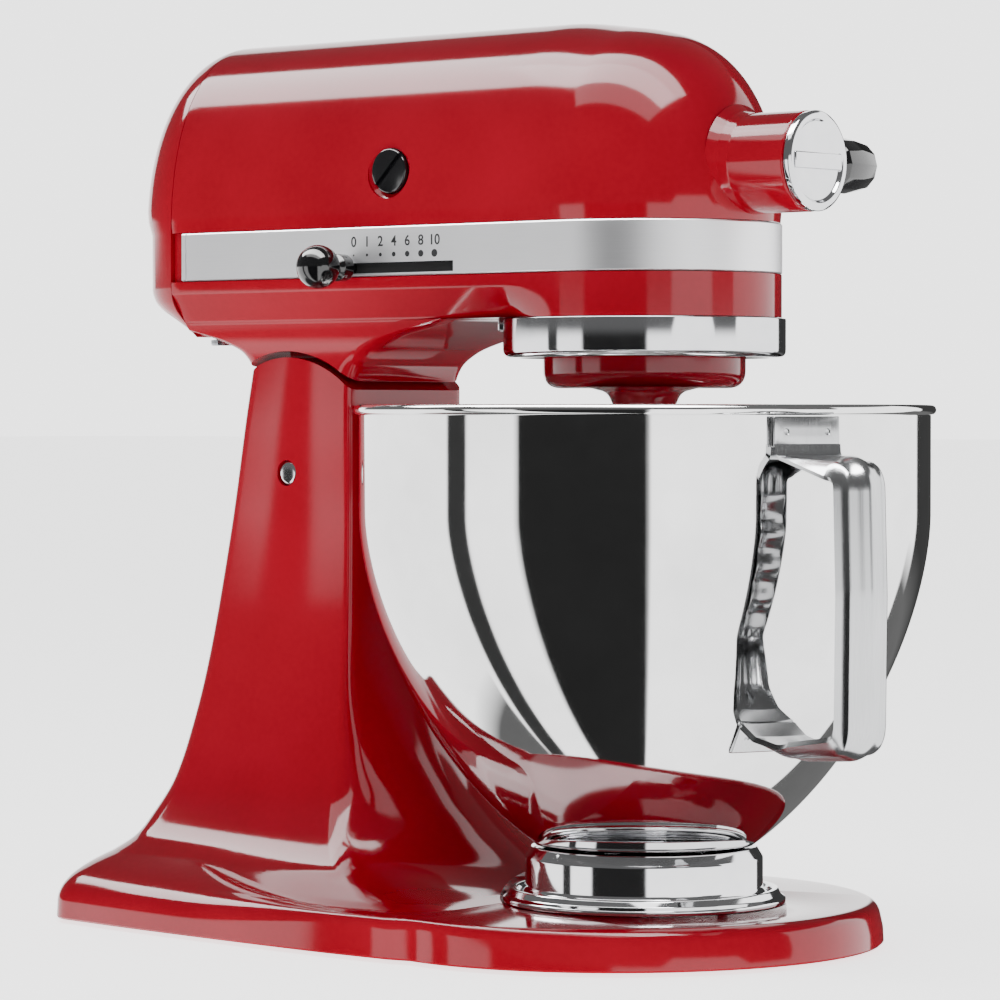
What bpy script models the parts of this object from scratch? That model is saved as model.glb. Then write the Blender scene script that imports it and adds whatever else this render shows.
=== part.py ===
"""Tilt-head stand mixer: pedestal, tilting head with gear train, bowl and beater.

Lengths in this file are written in millimetres about the bowl's axis (origin on the
table under the planetary shaft, +X to the front, +Y to the mixer's left, +Z up) and
become metres in one place, add_node().  The whole assembly hangs on one empty that
moves the bowl's axis to AXIS_X, so that the origin is the centre of the footprint box.
"""
import math

import bmesh
import bpy
from mathutils import Matrix, Vector

MM = 0.001
GAP = 0.3

# Overall frame
AXIS_X = 46.6
FOOT_HEIGHT = 4.0
BASE_BOTTOM = 1.5
BASE_TOP = 17.0

# Base outline on the table
BASE_FRONT_CENTRE = -12.0
BASE_FRONT_RADIUS = 101.0
BASE_REAR_HALF_WIDTH = 92.0
BASE_REAR_X = -234.0
BASE_REAR_CORNER = 14.0
BASE_WALL = 4.0
# X and half-width along the sides, and how far the rear's own edge rounding reaches there
BASE_SIDES = ((-188.0, 96.0, 0.62), (-140.0, 100.3, 0.40), (-100.0, 103.2, 0.20),
              (-62.0, 104.9, 0.0))
# inset at the front, inset at the rear, height
BASE_EDGE = ((0.0, 0.0, BASE_BOTTOM), (0.2, 0.2, 8.0), (1.2, 0.8, 12.5), (4.0, 1.7, 15.5),
             (10.0, 2.7, 17.6))
FOOT_PLACES = ((-208.0, 62.0), (-208.0, -62.0), (-40.0, 82.0), (-40.0, -82.0), (66.0, 0.0))

# Column and tilt hinge
COLUMN_TOP = 227.0
# height, scoop's middle X, side X and half-width where the front corner's rounding starts,
# X and half-width where it ends, rear X, rear half-width, rear corner radius
COLUMN_KEYS = (
    (19.0, -46.0, -66.0, 86.0, -42.0, 62.0, -229.8, 86.0, 15.5),
    (22.0, -50.0, -82.0, 78.0, -60.0, 55.0, -228.0, 82.5, 15.2),
    (28.0, -60.0, -100.0, 66.0, -79.0, 45.0, -222.0, 72.0, 14.0),
    (34.0, -69.0, -108.0, 60.5, -87.0, 40.0, -217.8, 62.0, 13.0),
    (42.0, -80.0, -113.0, 55.0, -95.0, 36.0, -214.5, 55.5, 12.0),
    (56.0, -95.0, -119.0, 47.0, -104.5, 33.0, -209.5, 47.5, 11.0),
    (74.0, -107.0, -121.0, 42.0, -112.5, 32.0, -205.0, 42.5, 10.0),
    (98.0, -115.0, -121.5, 39.0, -117.0, 31.0, -199.0, 39.2, 9.0),
    (130.0, -119.0, -122.5, 36.4, -119.0, 31.0, -192.8, 36.6, 8.5),
    (165.0, -119.5, -123.0, 35.4, -119.5, 30.6, -186.0, 35.4, 8.0),
    (200.0, -120.0, -124.0, 35.0, -120.0, 30.2, -180.0, 35.0, 8.0),
    (COLUMN_TOP, -120.0, -124.0, 35.0, -120.0, 30.2, -174.5, 35.0, 8.0),
)
COLUMN_LEVELS = (19.0, 23.0, 29.0, 37.0, 48.0, 63.0, 84.0, 115.0, 165.0, COLUMN_TOP)
CHEEK_RADIUS = 46.0
PIN_X = -152.0
PIN_Z = 180.0
PIN_RADIUS = 4.8
SLOT_HALF = 22.3
TONGUE_HALF = 20.0
TONGUE_RADIUS = 12.5
NECK_ARC_RADIUS = 48.5
# height, front X, half-width, rear X
NECK_KEYS = (
    (206.0, -120.0, 35.0, -170.0),
    (216.0, -120.0, 35.0, -173.0),
    (222.0, -117.5, 35.3, -175.0),
    (228.0, -110.0, 36.6, -179.0),
    (233.0, -96.0, 39.0, -189.0),
    (237.0, -76.0, 42.0, -204.0),
    (239.9, -58.0, 44.0, -214.0),
)
NECK_FLOOR = 3.5
NECK_LEVELS = (206.0, 218.0, 224.0, 229.0, 233.0, 236.5, 239.9)

# Head
HEAD_RADIUS = 52.4
HEAD_REAR_X = -198.0
HEAD_REAR_RATIO = 0.81
TAIL_TUCK = 0.09
HEAD_SHOULDER_Z = 275.7
HEAD_RISE = 78.0
HEAD_POWER = 2.2
CREST_DROOP = 4.2
SEAM_X = -200.0
SHELL = 3.0
COVER_WALL = 4.8
BAND_BOTTOM = 256.6
BAND_DEPTH = 1.5
BAND_REAR_X = -194.0
NOSE_BOTTOM = 240.0
NOSE_SIDE_TOP = 252.5
NOSE_SIDE_DRAW = 8.4
CROWN_LEVELS = (275.99, 290.0, 303.0, 315.0, 326.0, 335.0, 342.5, 348.5, 352.3)
# height and reach of the tail cover's underside, outside and inside
COVER_UNDER = ((234.6, 0.06), (238.5, 0.34), (242.5, 0.62), (246.0, 0.83), (249.5, 0.95),
               (254.0, 1.0), (275.99, 1.0))
COVER_ROOM = ((238.6, 0.03), (242.5, 0.30), (246.0, 0.58), (254.0, 0.95), (275.99, 1.0))
GLAND_PLACE = (-214.0, 19.0)
COVER_SCREW_PLACE = (-208.5, -14.0)

# Motor, gears and shafts
MOTOR_Z = 297.0
BRUSH_X = -85.0
SPUR_MODULE = 2.0
PINION_TEETH = 12
CENTRE_TEETH = 30
WORM_OFFSET = 19.0
WORM_TEETH = 20
WORM_PITCH_RADIUS = 5.0
WORM_HAND = 1.0
WORM_GEAR_RADIUS = WORM_OFFSET - WORM_PITCH_RADIUS
WORM_LEAD = 2.0 * math.pi * WORM_GEAR_RADIUS / WORM_TEETH
GEAR_DISTANCE = SPUR_MODULE * (PINION_TEETH + CENTRE_TEETH) / 2.0
WORM_GEAR_X = -math.sqrt(GEAR_DISTANCE ** 2 - WORM_OFFSET ** 2)
MITRE_TEETH = 16
RING_MODULE = 2.25
RING_TEETH = 30
PLANET_TEETH = 10
ORBIT = RING_MODULE * (RING_TEETH - PLANET_TEETH) / 2.0
BEATER_ANGLE = math.atan2(-0.79, 0.612)

# Hub for attachments
HUB_RADIUS = 18.8
HUB_BORE = 13.2
HUB_FACE_X = 78.0

# Bowl, its handle and the clamp plate
BOWL_RADIUS = 109.0
BOWL_WALL = 1.4
BOWL_SHOULDER_Z = 165.0
BOWL_DEPTH = 143.0
BOWL_POWER = 1.7
RIM_TOP = 207.0
BOWL_SEAT_Z = 39.5
FOOT_RING_RADIUS = 45.5
PLATE_RADIUS = 54.2
HANDLE_ANGLE = math.atan2(-0.352, 0.936)
HANDLE_HALF_WIDTH = 12.5
HANDLE_PATH = ((BOWL_RADIUS + 1.6, 202.0), (BOWL_RADIUS + 1.6, 192.0), (113.5, 188.4),
               (120.0, 187.2), (134.0, 186.0), (142.5, 184.0), (148.0, 179.0), (150.5, 171.0),
               (151.2, 150.0), (151.0, 120.0), (149.6, 100.0), (147.0, 91.0), (141.5, 85.0),
               (132.0, 82.6), (112.0, 80.6), (100.0, 79.4), (90.0, 79.0), (84.8, 80.6))

# Speed control and lock
SLIDE_X = -103.6
SLIDE_TRAVEL = 40.0
SLIDE_Z = 260.0
KNOB_Y = 71.0
LOCK_X = -112.0
LOCK_TRAVEL = 16.0

RED = (0.45, 0.012, 0.02, 1.0)
CHROME = (0.80, 0.80, 0.82, 1.0)
STEEL = (0.55, 0.56, 0.58, 1.0)
BLACK = (0.012, 0.012, 0.013, 1.0)
RUBBER = (0.03, 0.03, 0.03, 1.0)
COPPER = (0.60, 0.25, 0.12, 1.0)
BRONZE = (0.50, 0.33, 0.12, 1.0)
IRON = (0.16, 0.16, 0.17, 1.0)
GREEN = (0.03, 0.16, 0.07, 1.0)
WHITE = (0.75, 0.75, 0.73, 1.0)
FINISH = {
    "enamel": (RED, 0.18, 0.0),
    "chrome": (CHROME, 0.08, 1.0),
    "steel": (STEEL, 0.32, 1.0),
    "plastic": (BLACK, 0.25, 0.0),
    "rubber": (RUBBER, 0.8, 0.0),
    "copper": (COPPER, 0.35, 1.0),
    "bronze": (BRONZE, 0.35, 1.0),
    "iron": (IRON, 0.55, 1.0),
    "board": (GREEN, 0.5, 0.0),
    "coated": (WHITE, 0.4, 0.0),
}


# ---------------------------------------------------------------- scene and materials

def clear_scene():
    """Remove whatever the file holds."""
    for item in list(bpy.data.objects):
        bpy.data.objects.remove(item, do_unlink=True)


def make_frame():
    """The empty that carries the assembly from the bowl's axis to the origin."""
    empty = bpy.data.objects.new("mixer_frame", None)
    empty.location = (AXIS_X * MM, 0.0, 0.0)
    bpy.context.scene.collection.objects.link(empty)
    return empty


def paint(name, finish):
    """One Principled material of a finish, for one node."""
    colour, roughness, metallic = FINISH[finish]
    material = bpy.data.materials.new(name + "_" + finish)
    material.use_nodes = True
    shader = material.node_tree.nodes["Principled BSDF"]
    shader.inputs["Base Color"].default_value = colour
    shader.inputs["Roughness"].default_value = roughness
    shader.inputs["Metallic"].default_value = metallic
    material.diffuse_color = colour
    return material


def add_node(name, bm, finish, origin=(0.0, 0.0, 0.0)):
    """Turn a bmesh in millimetres into a named object with its origin at origin."""
    bmesh.ops.recalc_face_normals(bm, faces=bm.faces)
    start = Vector(origin)
    for vert in bm.verts:
        vert.co = (vert.co - start) * MM
    mesh = bpy.data.meshes.new(name)
    bm.to_mesh(mesh)
    bm.free()
    node = bpy.data.objects.new(name, mesh)
    bpy.context.scene.collection.objects.link(node)
    node.location = start * MM
    node.parent = FRAME
    if finish:
        mesh.materials.append(paint(name, finish))
        mesh.shade_smooth()
        mesh.set_sharp_from_angle(angle=math.radians(32.0))
    return node


def add_tool(name, bm):
    """A cutter or an addition used by a Boolean, and left out of the build."""
    tool = add_node(name, bm, None)
    tool.hide_render = True
    tool.display_type = "WIRE"
    return tool


def boolean(node, tool, operation="DIFFERENCE", solver="EXACT"):
    """A Boolean between a node and a hidden tool."""
    modifier = node.modifiers.new(operation.lower() + "_" + tool.name, "BOOLEAN")
    modifier.operation = operation
    modifier.solver = solver
    modifier.object = tool


# ---------------------------------------------------------------- shape makers

def loft(loops, closed=False):
    """Skin a stack of equally long loops and cap both ends."""
    bm = bmesh.new()
    rings = [[bm.verts.new(point) for point in loop] for loop in loops]
    count = len(loops[0])
    pairs = list(zip(rings, rings[1:]))
    if closed:
        pairs.append((rings[-1], rings[0]))
    for lower, upper in pairs:
        for i in range(count):
            j = (i + 1) % count
            bm.faces.new((lower[i], lower[j], upper[j], upper[i]))
    if not closed:
        bm.faces.new(rings[0])
        bm.faces.new(rings[-1])
    return bm


def turn(profile, steps=32, centre=(0.0, 0.0), axis="Z", angle=0.0):
    """Turn a closed outline of (radius, height) pairs about a line along Z, X or Y.

    A pair on the axis becomes one pole.  centre holds the two coordinates of the line
    across its direction, in X, Y, Z order.
    """
    bm = bmesh.new()
    rings = []
    for radius, height in profile:
        if radius < 1e-6:
            rings.append([bm.verts.new(axis_point(0.0, 0.0, height, centre, axis))])
            continue
        ring = []
        for i in range(steps):
            a = 2.0 * math.pi * i / steps + angle
            across, along = radius * math.cos(a), radius * math.sin(a)
            ring.append(bm.verts.new(axis_point(across, along, height, centre, axis)))
        rings.append(ring)
    for first, second in zip(rings, rings[1:] + rings[:1]):
        if len(first) == 1 and len(second) == 1:
            continue
        for i in range(steps):
            j = (i + 1) % steps
            if len(first) == 1:
                bm.faces.new((first[0], second[i], second[j]))
            elif len(second) == 1:
                bm.faces.new((first[i], first[j], second[0]))
            else:
                bm.faces.new((first[i], first[j], second[j], second[i]))
    return bm


def axis_point(a, b, height, centre, axis):
    """Place a point of a turned shape about a line along X, Y or Z."""
    if axis == "X":
        return (height, centre[0] + a, centre[1] + b)
    if axis == "Y":
        return (centre[0] + a, height, centre[1] + b)
    return (centre[0] + a, centre[1] + b, height)


def rod(radius, low, high, centre=(0.0, 0.0), axis="Z", steps=24, chamfer=0.0):
    """A solid cylinder with optional chamfers."""
    c = chamfer
    if c > 0.0:
        outline = [(0, low), (radius - c, low), (radius, low + c), (radius, high - c),
                   (radius - c, high), (0, high)]
    else:
        outline = [(0, low), (radius, low), (radius, high), (0, high)]
    return turn(outline, steps, centre, axis)


def tube(inner, outer, low, high, centre=(0.0, 0.0), axis="Z", steps=24):
    """A plain sleeve."""
    outline = [(inner, low), (outer, low), (outer, high), (inner, high)]
    return turn(outline, steps, centre, axis)


def block(low, high, bevel=0.0):
    """A box between two corners, with its edges bevelled."""
    bm = bmesh.new()
    bmesh.ops.create_cube(bm, size=1.0)
    size = Vector(high) - Vector(low)
    middle = (Vector(high) + Vector(low)) / 2.0
    for vert in bm.verts:
        vert.co = Vector(vert.co[i] * size[i] + middle[i] for i in range(3))
    if bevel > 0.0:
        bmesh.ops.bevel(bm, geom=bm.edges[:], offset=bevel, segments=2, profile=0.5,
                        affect="EDGES")
    return bm


def prism(outline, low, high):
    """An outline in plan, raised from low to high."""
    return loft([[(x, y, z) for x, y in outline] for z in (low, high)])


def ease(t):
    """Smooth step from 0 to 1."""
    t = min(1.0, max(0.0, t))
    return t * t * (3.0 - 2.0 * t)


def read_curve(points, x):
    """Read a smooth curve through (x, value...) rows by cubic Hermite pieces."""
    if x <= points[0][0]:
        return points[0][1:]
    if x >= points[-1][0]:
        return points[-1][1:]
    k = 0
    while points[k + 1][0] < x:
        k += 1
    x0, x1 = points[k][0], points[k + 1][0]
    t = (x - x0) / (x1 - x0)
    result = []
    for column in range(1, len(points[0])):
        slope0 = curve_slope(points, k, column) * (x1 - x0)
        slope1 = curve_slope(points, k + 1, column) * (x1 - x0)
        y0, y1 = points[k][column], points[k + 1][column]
        result.append((2 * t ** 3 - 3 * t ** 2 + 1) * y0 + (t ** 3 - 2 * t ** 2 + t) * slope0
                      + (3 * t ** 2 - 2 * t ** 3) * y1 + (t ** 3 - t ** 2) * slope1)
    return tuple(result)


def curve_slope(points, k, column):
    """Slope at a key row that never overshoots its neighbours."""
    if k == 0 or k == len(points) - 1:
        a, b = (k, k + 1) if k == 0 else (k - 1, k)
        return (points[b][column] - points[a][column]) / (points[b][0] - points[a][0])
    left = (points[k][column] - points[k - 1][column]) / (points[k][0] - points[k - 1][0])
    right = (points[k + 1][column] - points[k][column]) / (points[k + 1][0] - points[k][0])
    if left * right <= 0.0:
        return 0.0
    return 2.0 * left * right / (left + right)


# ---------------------------------------------------------------- gears

def gear_outline(teeth, root, tip, phase=0.0, root_part=0.30, tip_part=0.13, centre=(0.0, 0.0)):
    """Outline of straight-flanked teeth; a tooth is centred on angle phase.

    root_part and tip_part are a tooth's half-widths as parts of the pitch.
    """
    points = []
    pitch = 2.0 * math.pi / teeth
    for i in range(teeth):
        middle = phase + i * pitch
        for part, radius in ((-root_part, root), (-tip_part, tip), (tip_part, tip),
                             (root_part, root)):
            a = middle + part * pitch
            points.append((centre[0] + radius * math.cos(a), centre[1] + radius * math.sin(a)))
    return points


def cut_bore(node, radius, low, high, centre=(0.0, 0.0), axis="Z", steps=20):
    """A round hole right through a node."""
    cutter = add_tool("cut_" + node.name + "_" + str(len(node.modifiers)),
                      rod(radius, low - 1.0, high + 1.0, centre, axis, steps))
    boolean(node, cutter)


# ---------------------------------------------------------------- base and column

def base_outline(inset, rear_inset, steps):
    """Half footprint of the base, moved inwards; starts at the rear middle."""
    front = BASE_FRONT_RADIUS - inset
    corner = max(BASE_REAR_CORNER - rear_inset, 1.0)
    half = [(BASE_REAR_X + rear_inset, 0.0), (BASE_REAR_X + rear_inset, 40.0)]
    for i in range(4):
        a = math.pi - math.pi / 2.0 * i / 3.0
        half.append((BASE_REAR_X + BASE_REAR_CORNER + corner * math.cos(a),
                     BASE_REAR_HALF_WIDTH - BASE_REAR_CORNER + corner * math.sin(a)))
    half += [(x, y - inset + (inset - rear_inset) * part) for x, y, part in BASE_SIDES]
    for i in range(steps + 1):
        a = math.pi / 2.0 * (1.0 - i / steps) * 1.05
        a = min(a, math.radians(94.0))
        half.append((BASE_FRONT_CENTRE + front * math.cos(a),
                     front * math.sin(a) * (1.0 + 0.035 * math.sin(a) ** 4)))
    return half


def column_half(height, inset, steps):
    """Half of the column's plan outline at one height, rear middle to front middle.

    It has the same number of points as base_outline().
    """
    front, side_x, side_w, scoop_x, scoop_w, rear, rear_w, rear_r = read_curve(COLUMN_KEYS, height)
    lead = (front - scoop_x) * math.pi / 2.0 * (side_w - scoop_w) / scoop_w
    rear, rear_w, rear_r = rear + inset, rear_w - inset, max(rear_r - inset, 2.0)
    front, side_x, side_w = front - inset, side_x - inset, side_w - inset
    scoop_x, scoop_w = scoop_x - inset, scoop_w - inset
    half = [(rear, 0.0), (rear, (rear_w - rear_r) * 0.6)]
    for i in range(4):
        a = math.pi - math.pi / 2.0 * i / 3.0
        half.append((rear + rear_r + rear_r * math.cos(a), rear_w - rear_r + rear_r * math.sin(a)))
    for i in range(1, 5):
        t = i / 4.0
        half.append((rear + rear_r + (side_x - rear - rear_r) * t,
                     rear_w + (side_w - rear_w) * t + 1.2 * math.sin(math.pi * t)))
    bend = ((side_x, side_w), (scoop_x - lead, side_w), (scoop_x, scoop_w))
    for i in range(1, 4):
        t = i / 3.0
        half.append(tuple(p * (1.0 - t) ** 2 + q * 2.0 * t * (1.0 - t) + r * t * t
                          for p, q, r in zip(*bend)))
    for i in range(1, steps - 1):
        t = i / (steps - 2)
        half.append((scoop_x + (front - scoop_x) * math.sin(math.pi / 2.0 * t),
                     scoop_w * (1.0 - t)))
    return half


def mirrored(half, height):
    """Close a half outline across Y = 0 and place it at one height."""
    ring = [(x, y, height) for x, y in half]
    return ring + [(x, -y, height) for x, y in reversed(half[1:-1])]


def make_pedestal():
    """One hollow casting: broad base, scooped column and hinge cheeks."""
    steps = 8
    outer = [mirrored(base_outline(inset, rear_inset, steps), height)
             for inset, rear_inset, height in BASE_EDGE]
    outer += [mirrored(column_half(height, 0.0, steps), height) for height in COLUMN_LEVELS]
    inner = [mirrored(base_outline(BASE_WALL + inset, BASE_WALL + inset, steps), height)
             for inset, height in ((0.0, BASE_BOTTOM), (0.5, 9.0), (8.0, 13.0))]
    inner += [mirrored(column_half(height + 5.0, BASE_WALL + 2.0, steps), height)
              for height in (14.5, 28.0, 48.0, 80.0, 135.0)]
    node = add_node("pedestal", loft(inner[::-1] + outer), "enamel")
    flat = add_tool("cut_plate_flat", rod(PLATE_RADIUS + 1.1, BASE_TOP, 45.0, steps=32))
    boolean(node, flat)
    cheek = turn([(CHEEK_RADIUS, -60.0), (90.0, -60.0), (90.0, 60.0), (CHEEK_RADIUS, 60.0)],
                 40, (PIN_X, PIN_Z), "Y")
    sector = block((-240.0, -70.0, 198.0), (-60.0, 70.0, 280.0))
    arc = add_tool("cut_cheek_arc", cheek)
    zone = add_tool("cut_cheek_zone", sector)
    boolean(arc, zone, "INTERSECT")
    boolean(node, arc)
    boolean(node, add_tool("cut_tongue_slot",
                           block((-168.5, -SLOT_HALF, 150.0), (-127.0, SLOT_HALF, 260.0))))
    boolean(node, add_tool("cut_swing_window",
                           block((-220.0, -SLOT_HALF, 174.0), (-152.0, SLOT_HALF, 260.0))))
    cut_bore(node, PIN_RADIUS + GAP, -60.0, 60.0, (PIN_X, PIN_Z), "Y", 24)
    for x, y in plate_screw_places():
        cut_bore(node, 2.3, 10.0, BASE_TOP, (x, y), steps=12)
    return node


def make_base_plate():
    """Sheet that closes the base from below, with the feet under it."""
    half = base_outline(5.0, 5.0, 8)
    node = add_node("base_plate", loft([mirrored(half, 4.3), mirrored(half, 5.8)]), "coated")
    return node


def make_feet():
    """Five rubber pads under the base plate."""
    for number, (x, y) in enumerate(FOOT_PLACES, 1):
        outline = [(0, 0), (8.5, 0), (9.5, 1.0), (10.0, FOOT_HEIGHT), (0, FOOT_HEIGHT)]
        add_node("foot_" + str(number), turn(outline, 20, (x, y)), "rubber", (x, y, 0.0))


def plate_screw_places():
    """Four places on a circle inside the clamp plate."""
    return [(30.0 * math.cos(a), 30.0 * math.sin(a))
            for a in (math.radians(45.0 + 90.0 * i) for i in range(4))]


def make_clamp_plate():
    """Polished dish with a raised lip that the bowl's foot twists into."""
    low = BASE_TOP + GAP
    outline = [(0, low), (PLATE_RADIUS - 1.0, low), (PLATE_RADIUS, low + 0.8),
               (PLATE_RADIUS, low + 1.8), (52.6, low + 2.6), (51.6, low + 4.2),
               (50.4, low + 5.4), (49.2, low + 5.6), (48.4, low + 4.8), (48.2, low + 2.0),
               (0, low + 2.0)]
    node = add_node("bowl_clamp_plate", turn(outline, 32), "chrome")
    for x, y in plate_screw_places():
        cut_bore(node, 2.3, low, low + 3.0, (x, y), steps=12)
    for number, (x, y) in enumerate(plate_screw_places(), 1):
        top = low + 2.0 + GAP
        outline = [(0, 11.0), (2.0, 11.0), (2.0, top), (4.2, top), (3.6, top + 1.6),
                   (0, top + 2.0)]
        add_node("clamp_screw_" + str(number), turn(outline, 12, (x, y)), "steel", (x, y, top))


def make_hinge_pin():
    """Through pin of the tilting head, its ends flush with the cheeks."""
    node = rod(PIN_RADIUS, -35.6, 35.6, (PIN_X, PIN_Z), "Y", 24, 0.5)
    add_node("hinge_pin", node, "chrome", (PIN_X, 0.0, PIN_Z))


# ---------------------------------------------------------------- head casings

def head_radius(height):
    """Half-width of the head above its shoulder: a superellipse."""
    t = max(0.0, (height - HEAD_SHOULDER_Z) / HEAD_RISE)
    return HEAD_RADIUS * max(0.0, 1.0 - t ** HEAD_POWER) ** (1.0 / HEAD_POWER)


def droop(x, height):
    """The crest falls a little over the front dome."""
    t = max(0.0, (height - HEAD_SHOULDER_Z) / HEAD_RISE)
    return CREST_DROOP * ease((x + 30.0) / 45.0) * t ** 3


def head_loop(radius, height, front=8, rear=3, wall=0.0):
    """Plan outline of the head: round nose, straight sides and elliptical tail."""
    half = []
    ratio = HEAD_REAR_RATIO - TAIL_TUCK * ease((284.0 - height) / 9.0)
    tail = ratio * (radius + wall) - wall
    for i in range(rear + 1):
        a = math.pi - math.pi / 2.0 * i / rear
        half.append((HEAD_REAR_X + tail * math.cos(a), radius * math.sin(a)))
    half += [(HEAD_REAR_X * t, radius) for t in (0.8, 0.6, 0.4, 0.2)]
    for i in range(front + 1):
        a = math.pi / 2.0 * (1.0 - i / front)
        half.append((radius * math.cos(a), radius * math.sin(a)))
    ring = mirrored(half, height)
    return [(x, y, z - droop(x, z)) for x, y, z in ring]


def crown_loops(wall, levels):
    """Loops up the crown; wall moves the surface inwards."""
    loops = []
    for height in levels:
        radius = max(head_radius(height) - wall, 1.5)
        loops.append(head_loop(radius, height - (wall if height > 300.0 else 0.0), wall=wall))
    return loops


def cut_behind(node, x):
    """Cut a head casing off square behind X."""
    boolean(node, add_tool("cut_rear_" + node.name, block((x - 90.0, -80.0, 190.0),
                                                          (x, 80.0, 380.0))))


def make_upper_housing():
    """Domed cover over motor and gears, with the barrel of the attachment hub."""
    lip = BAND_DEPTH + GAP
    step = HEAD_SHOULDER_Z + GAP
    outer = [head_loop(HEAD_RADIUS - lip, 266.3), head_loop(HEAD_RADIUS - lip, step)]
    outer += crown_loops(0.0, CROWN_LEVELS) + [head_loop(2.0, 353.8)]
    inner = [head_loop(HEAD_RADIUS - lip - SHELL, 266.3), head_loop(HEAD_RADIUS - lip - SHELL, step)]
    inner += crown_loops(SHELL + lip, CROWN_LEVELS[1::2])
    node = add_node("upper_housing", loft(inner[::-1] + outer), "enamel")
    barrel = [(HUB_BORE, 45.3), (HUB_RADIUS + 3.6, 45.3), (HUB_RADIUS + 1.3, 50.4),
              (HUB_RADIUS, 54.0), (HUB_RADIUS, HUB_FACE_X - 0.8), (HUB_RADIUS - 0.8, HUB_FACE_X),
              (HUB_BORE, HUB_FACE_X)]
    port = rod(HUB_BORE + 3.0, 30.0, 90.0, (0.0, MOTOR_Z), "X", 24)
    boolean(node, add_tool("cut_hub_port", port))
    hub = add_tool("add_hub_barrel", turn(barrel, 24, (0.0, MOTOR_Z), "X", math.pi / 24.0))
    boolean(hub, add_tool("cut_knob_bore", rod(4.4, 5.0, 40.0, (69.0, MOTOR_Z), "Y", 14)))
    boolean(node, add_tool("cut_brush_ports", rod(8.9, -80.0, 80.0, (BRUSH_X, MOTOR_Z), "Y", 24)))
    cut_behind(node, SEAM_X + GAP / 2.0)
    boolean(node, hub, "UNION", "MANIFOLD")


def neck_loop(height, inset=0.0, lift=0.0, front_steps=8, rear_steps=3):
    """Plan outline of the neck, point for point like head_loop; lift raises it."""
    front, half_width, rear = read_curve(NECK_KEYS, height)
    front -= inset
    half_width -= inset
    rear += inset
    corner = 7.0
    half = []
    for i in range(rear_steps + 1):
        t = i / rear_steps
        if t < 0.5:
            half.append((rear, (half_width - corner) * 2.0 * t))
        else:
            a = math.pi - math.pi * (t - 0.5)
            half.append((rear + corner + corner * math.cos(a),
                         half_width - corner + corner * math.sin(a)))
    span = front - corner - (rear + corner)
    half += [(rear + corner + span * t, half_width) for t in (0.2, 0.4, 0.6, 0.8)]
    for i in range(front_steps + 1):
        t = i / front_steps
        if t < 0.5:
            a = math.pi / 2.0 * (1.0 - 2.0 * t)
            half.append((front - corner + corner * math.cos(a),
                         half_width - corner + corner * math.sin(a)))
        else:
            half.append((front, (half_width - corner) * (2.0 - 2.0 * t)))
    return mirrored(half, height + lift)


def nose_loop(height, inset=0.0):
    """Lower head between the neck and the band: round drum in front, sides drawn in."""
    part = 1.0 - min(1.0, (height - NOSE_BOTTOM) / (NOSE_SIDE_TOP - NOSE_BOTTOM))
    radius = HEAD_RADIUS - inset
    loop = []
    for x, y, z in head_loop(radius, height):
        drum = math.sqrt(max(0.0, radius ** 2 - min(x, 0.0) ** 2))
        side = max(drum, radius - NOSE_SIDE_DRAW)
        loop.append((x, y * (1.0 + part * (side / radius - 1.0)), z))
    return loop


def make_lower_housing():
    """Gearcase floor, nose ring seat and the hinge neck with its tongue."""
    lip = BAND_DEPTH + GAP
    outer = [neck_loop(height) for height in NECK_LEVELS]
    outer += [nose_loop(height) for height in (NOSE_BOTTOM, 244.0, 248.5, NOSE_SIDE_TOP)]
    outer += [head_loop(HEAD_RADIUS, BAND_BOTTOM - GAP),
              head_loop(HEAD_RADIUS - lip, BAND_BOTTOM - GAP), head_loop(HEAD_RADIUS - lip, 266.0)]
    inner = [neck_loop(height, SHELL, NECK_FLOOR) for height in (232.5, 236.0, 239.0)]
    inner += [nose_loop(height, lip + SHELL) for height in (244.5, NOSE_SIDE_TOP)]
    inner += [head_loop(HEAD_RADIUS - lip - SHELL, 266.0)]
    node = add_node("lower_housing", loft(inner + outer[::-1]), "enamel")
    arc = rod(NECK_ARC_RADIUS, -60.0, 60.0, (PIN_X, PIN_Z), "Y", 48)
    boolean(node, add_tool("cut_neck_arc", arc))
    boolean(node, add_tool("add_tongue", tongue_shape()), "UNION")
    cut_bore(node, PIN_RADIUS + GAP, -30.0, 30.0, (PIN_X, PIN_Z), "Y", 24)
    cut_bore(node, 7.0, 230.0, 246.0)
    for side in (-1.0, 1.0):
        x = SLIDE_X if side < 0 else LOCK_X
        travel = SLIDE_TRAVEL if side < 0 else LOCK_TRAVEL
        low, high = sorted((side * 40.0, side * 60.0))
        slot = block((x - 5.0, low, SLIDE_Z - 3.4), (x + travel + 5.0, high, SLIDE_Z + 3.4))
        boolean(node, add_tool("cut_slide_slot_" + ("near" if side < 0 else "far"), slot))
    cut_behind(node, SEAM_X + GAP / 2.0)


def tongue_shape():
    """Block between the cheeks that turns about the pin."""
    half = TONGUE_RADIUS
    outline = [(PIN_X - half, 233.0)]
    for i in range(9):
        a = math.pi + math.pi * i / 8.0
        outline.append((PIN_X + half * math.cos(a), PIN_Z + half * math.sin(a)))
    outline.append((PIN_X + half, 233.0))
    return loft([[(x, y, z) for x, z in outline] for y in (-TONGUE_HALF, TONGUE_HALF)])


def tail_loop(radius, height, wall=0.0):
    """Outline of the tail behind the seam; the rest runs ahead of it and is cut off."""
    return head_loop(radius, height, front=2, rear=8, wall=wall)


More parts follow.
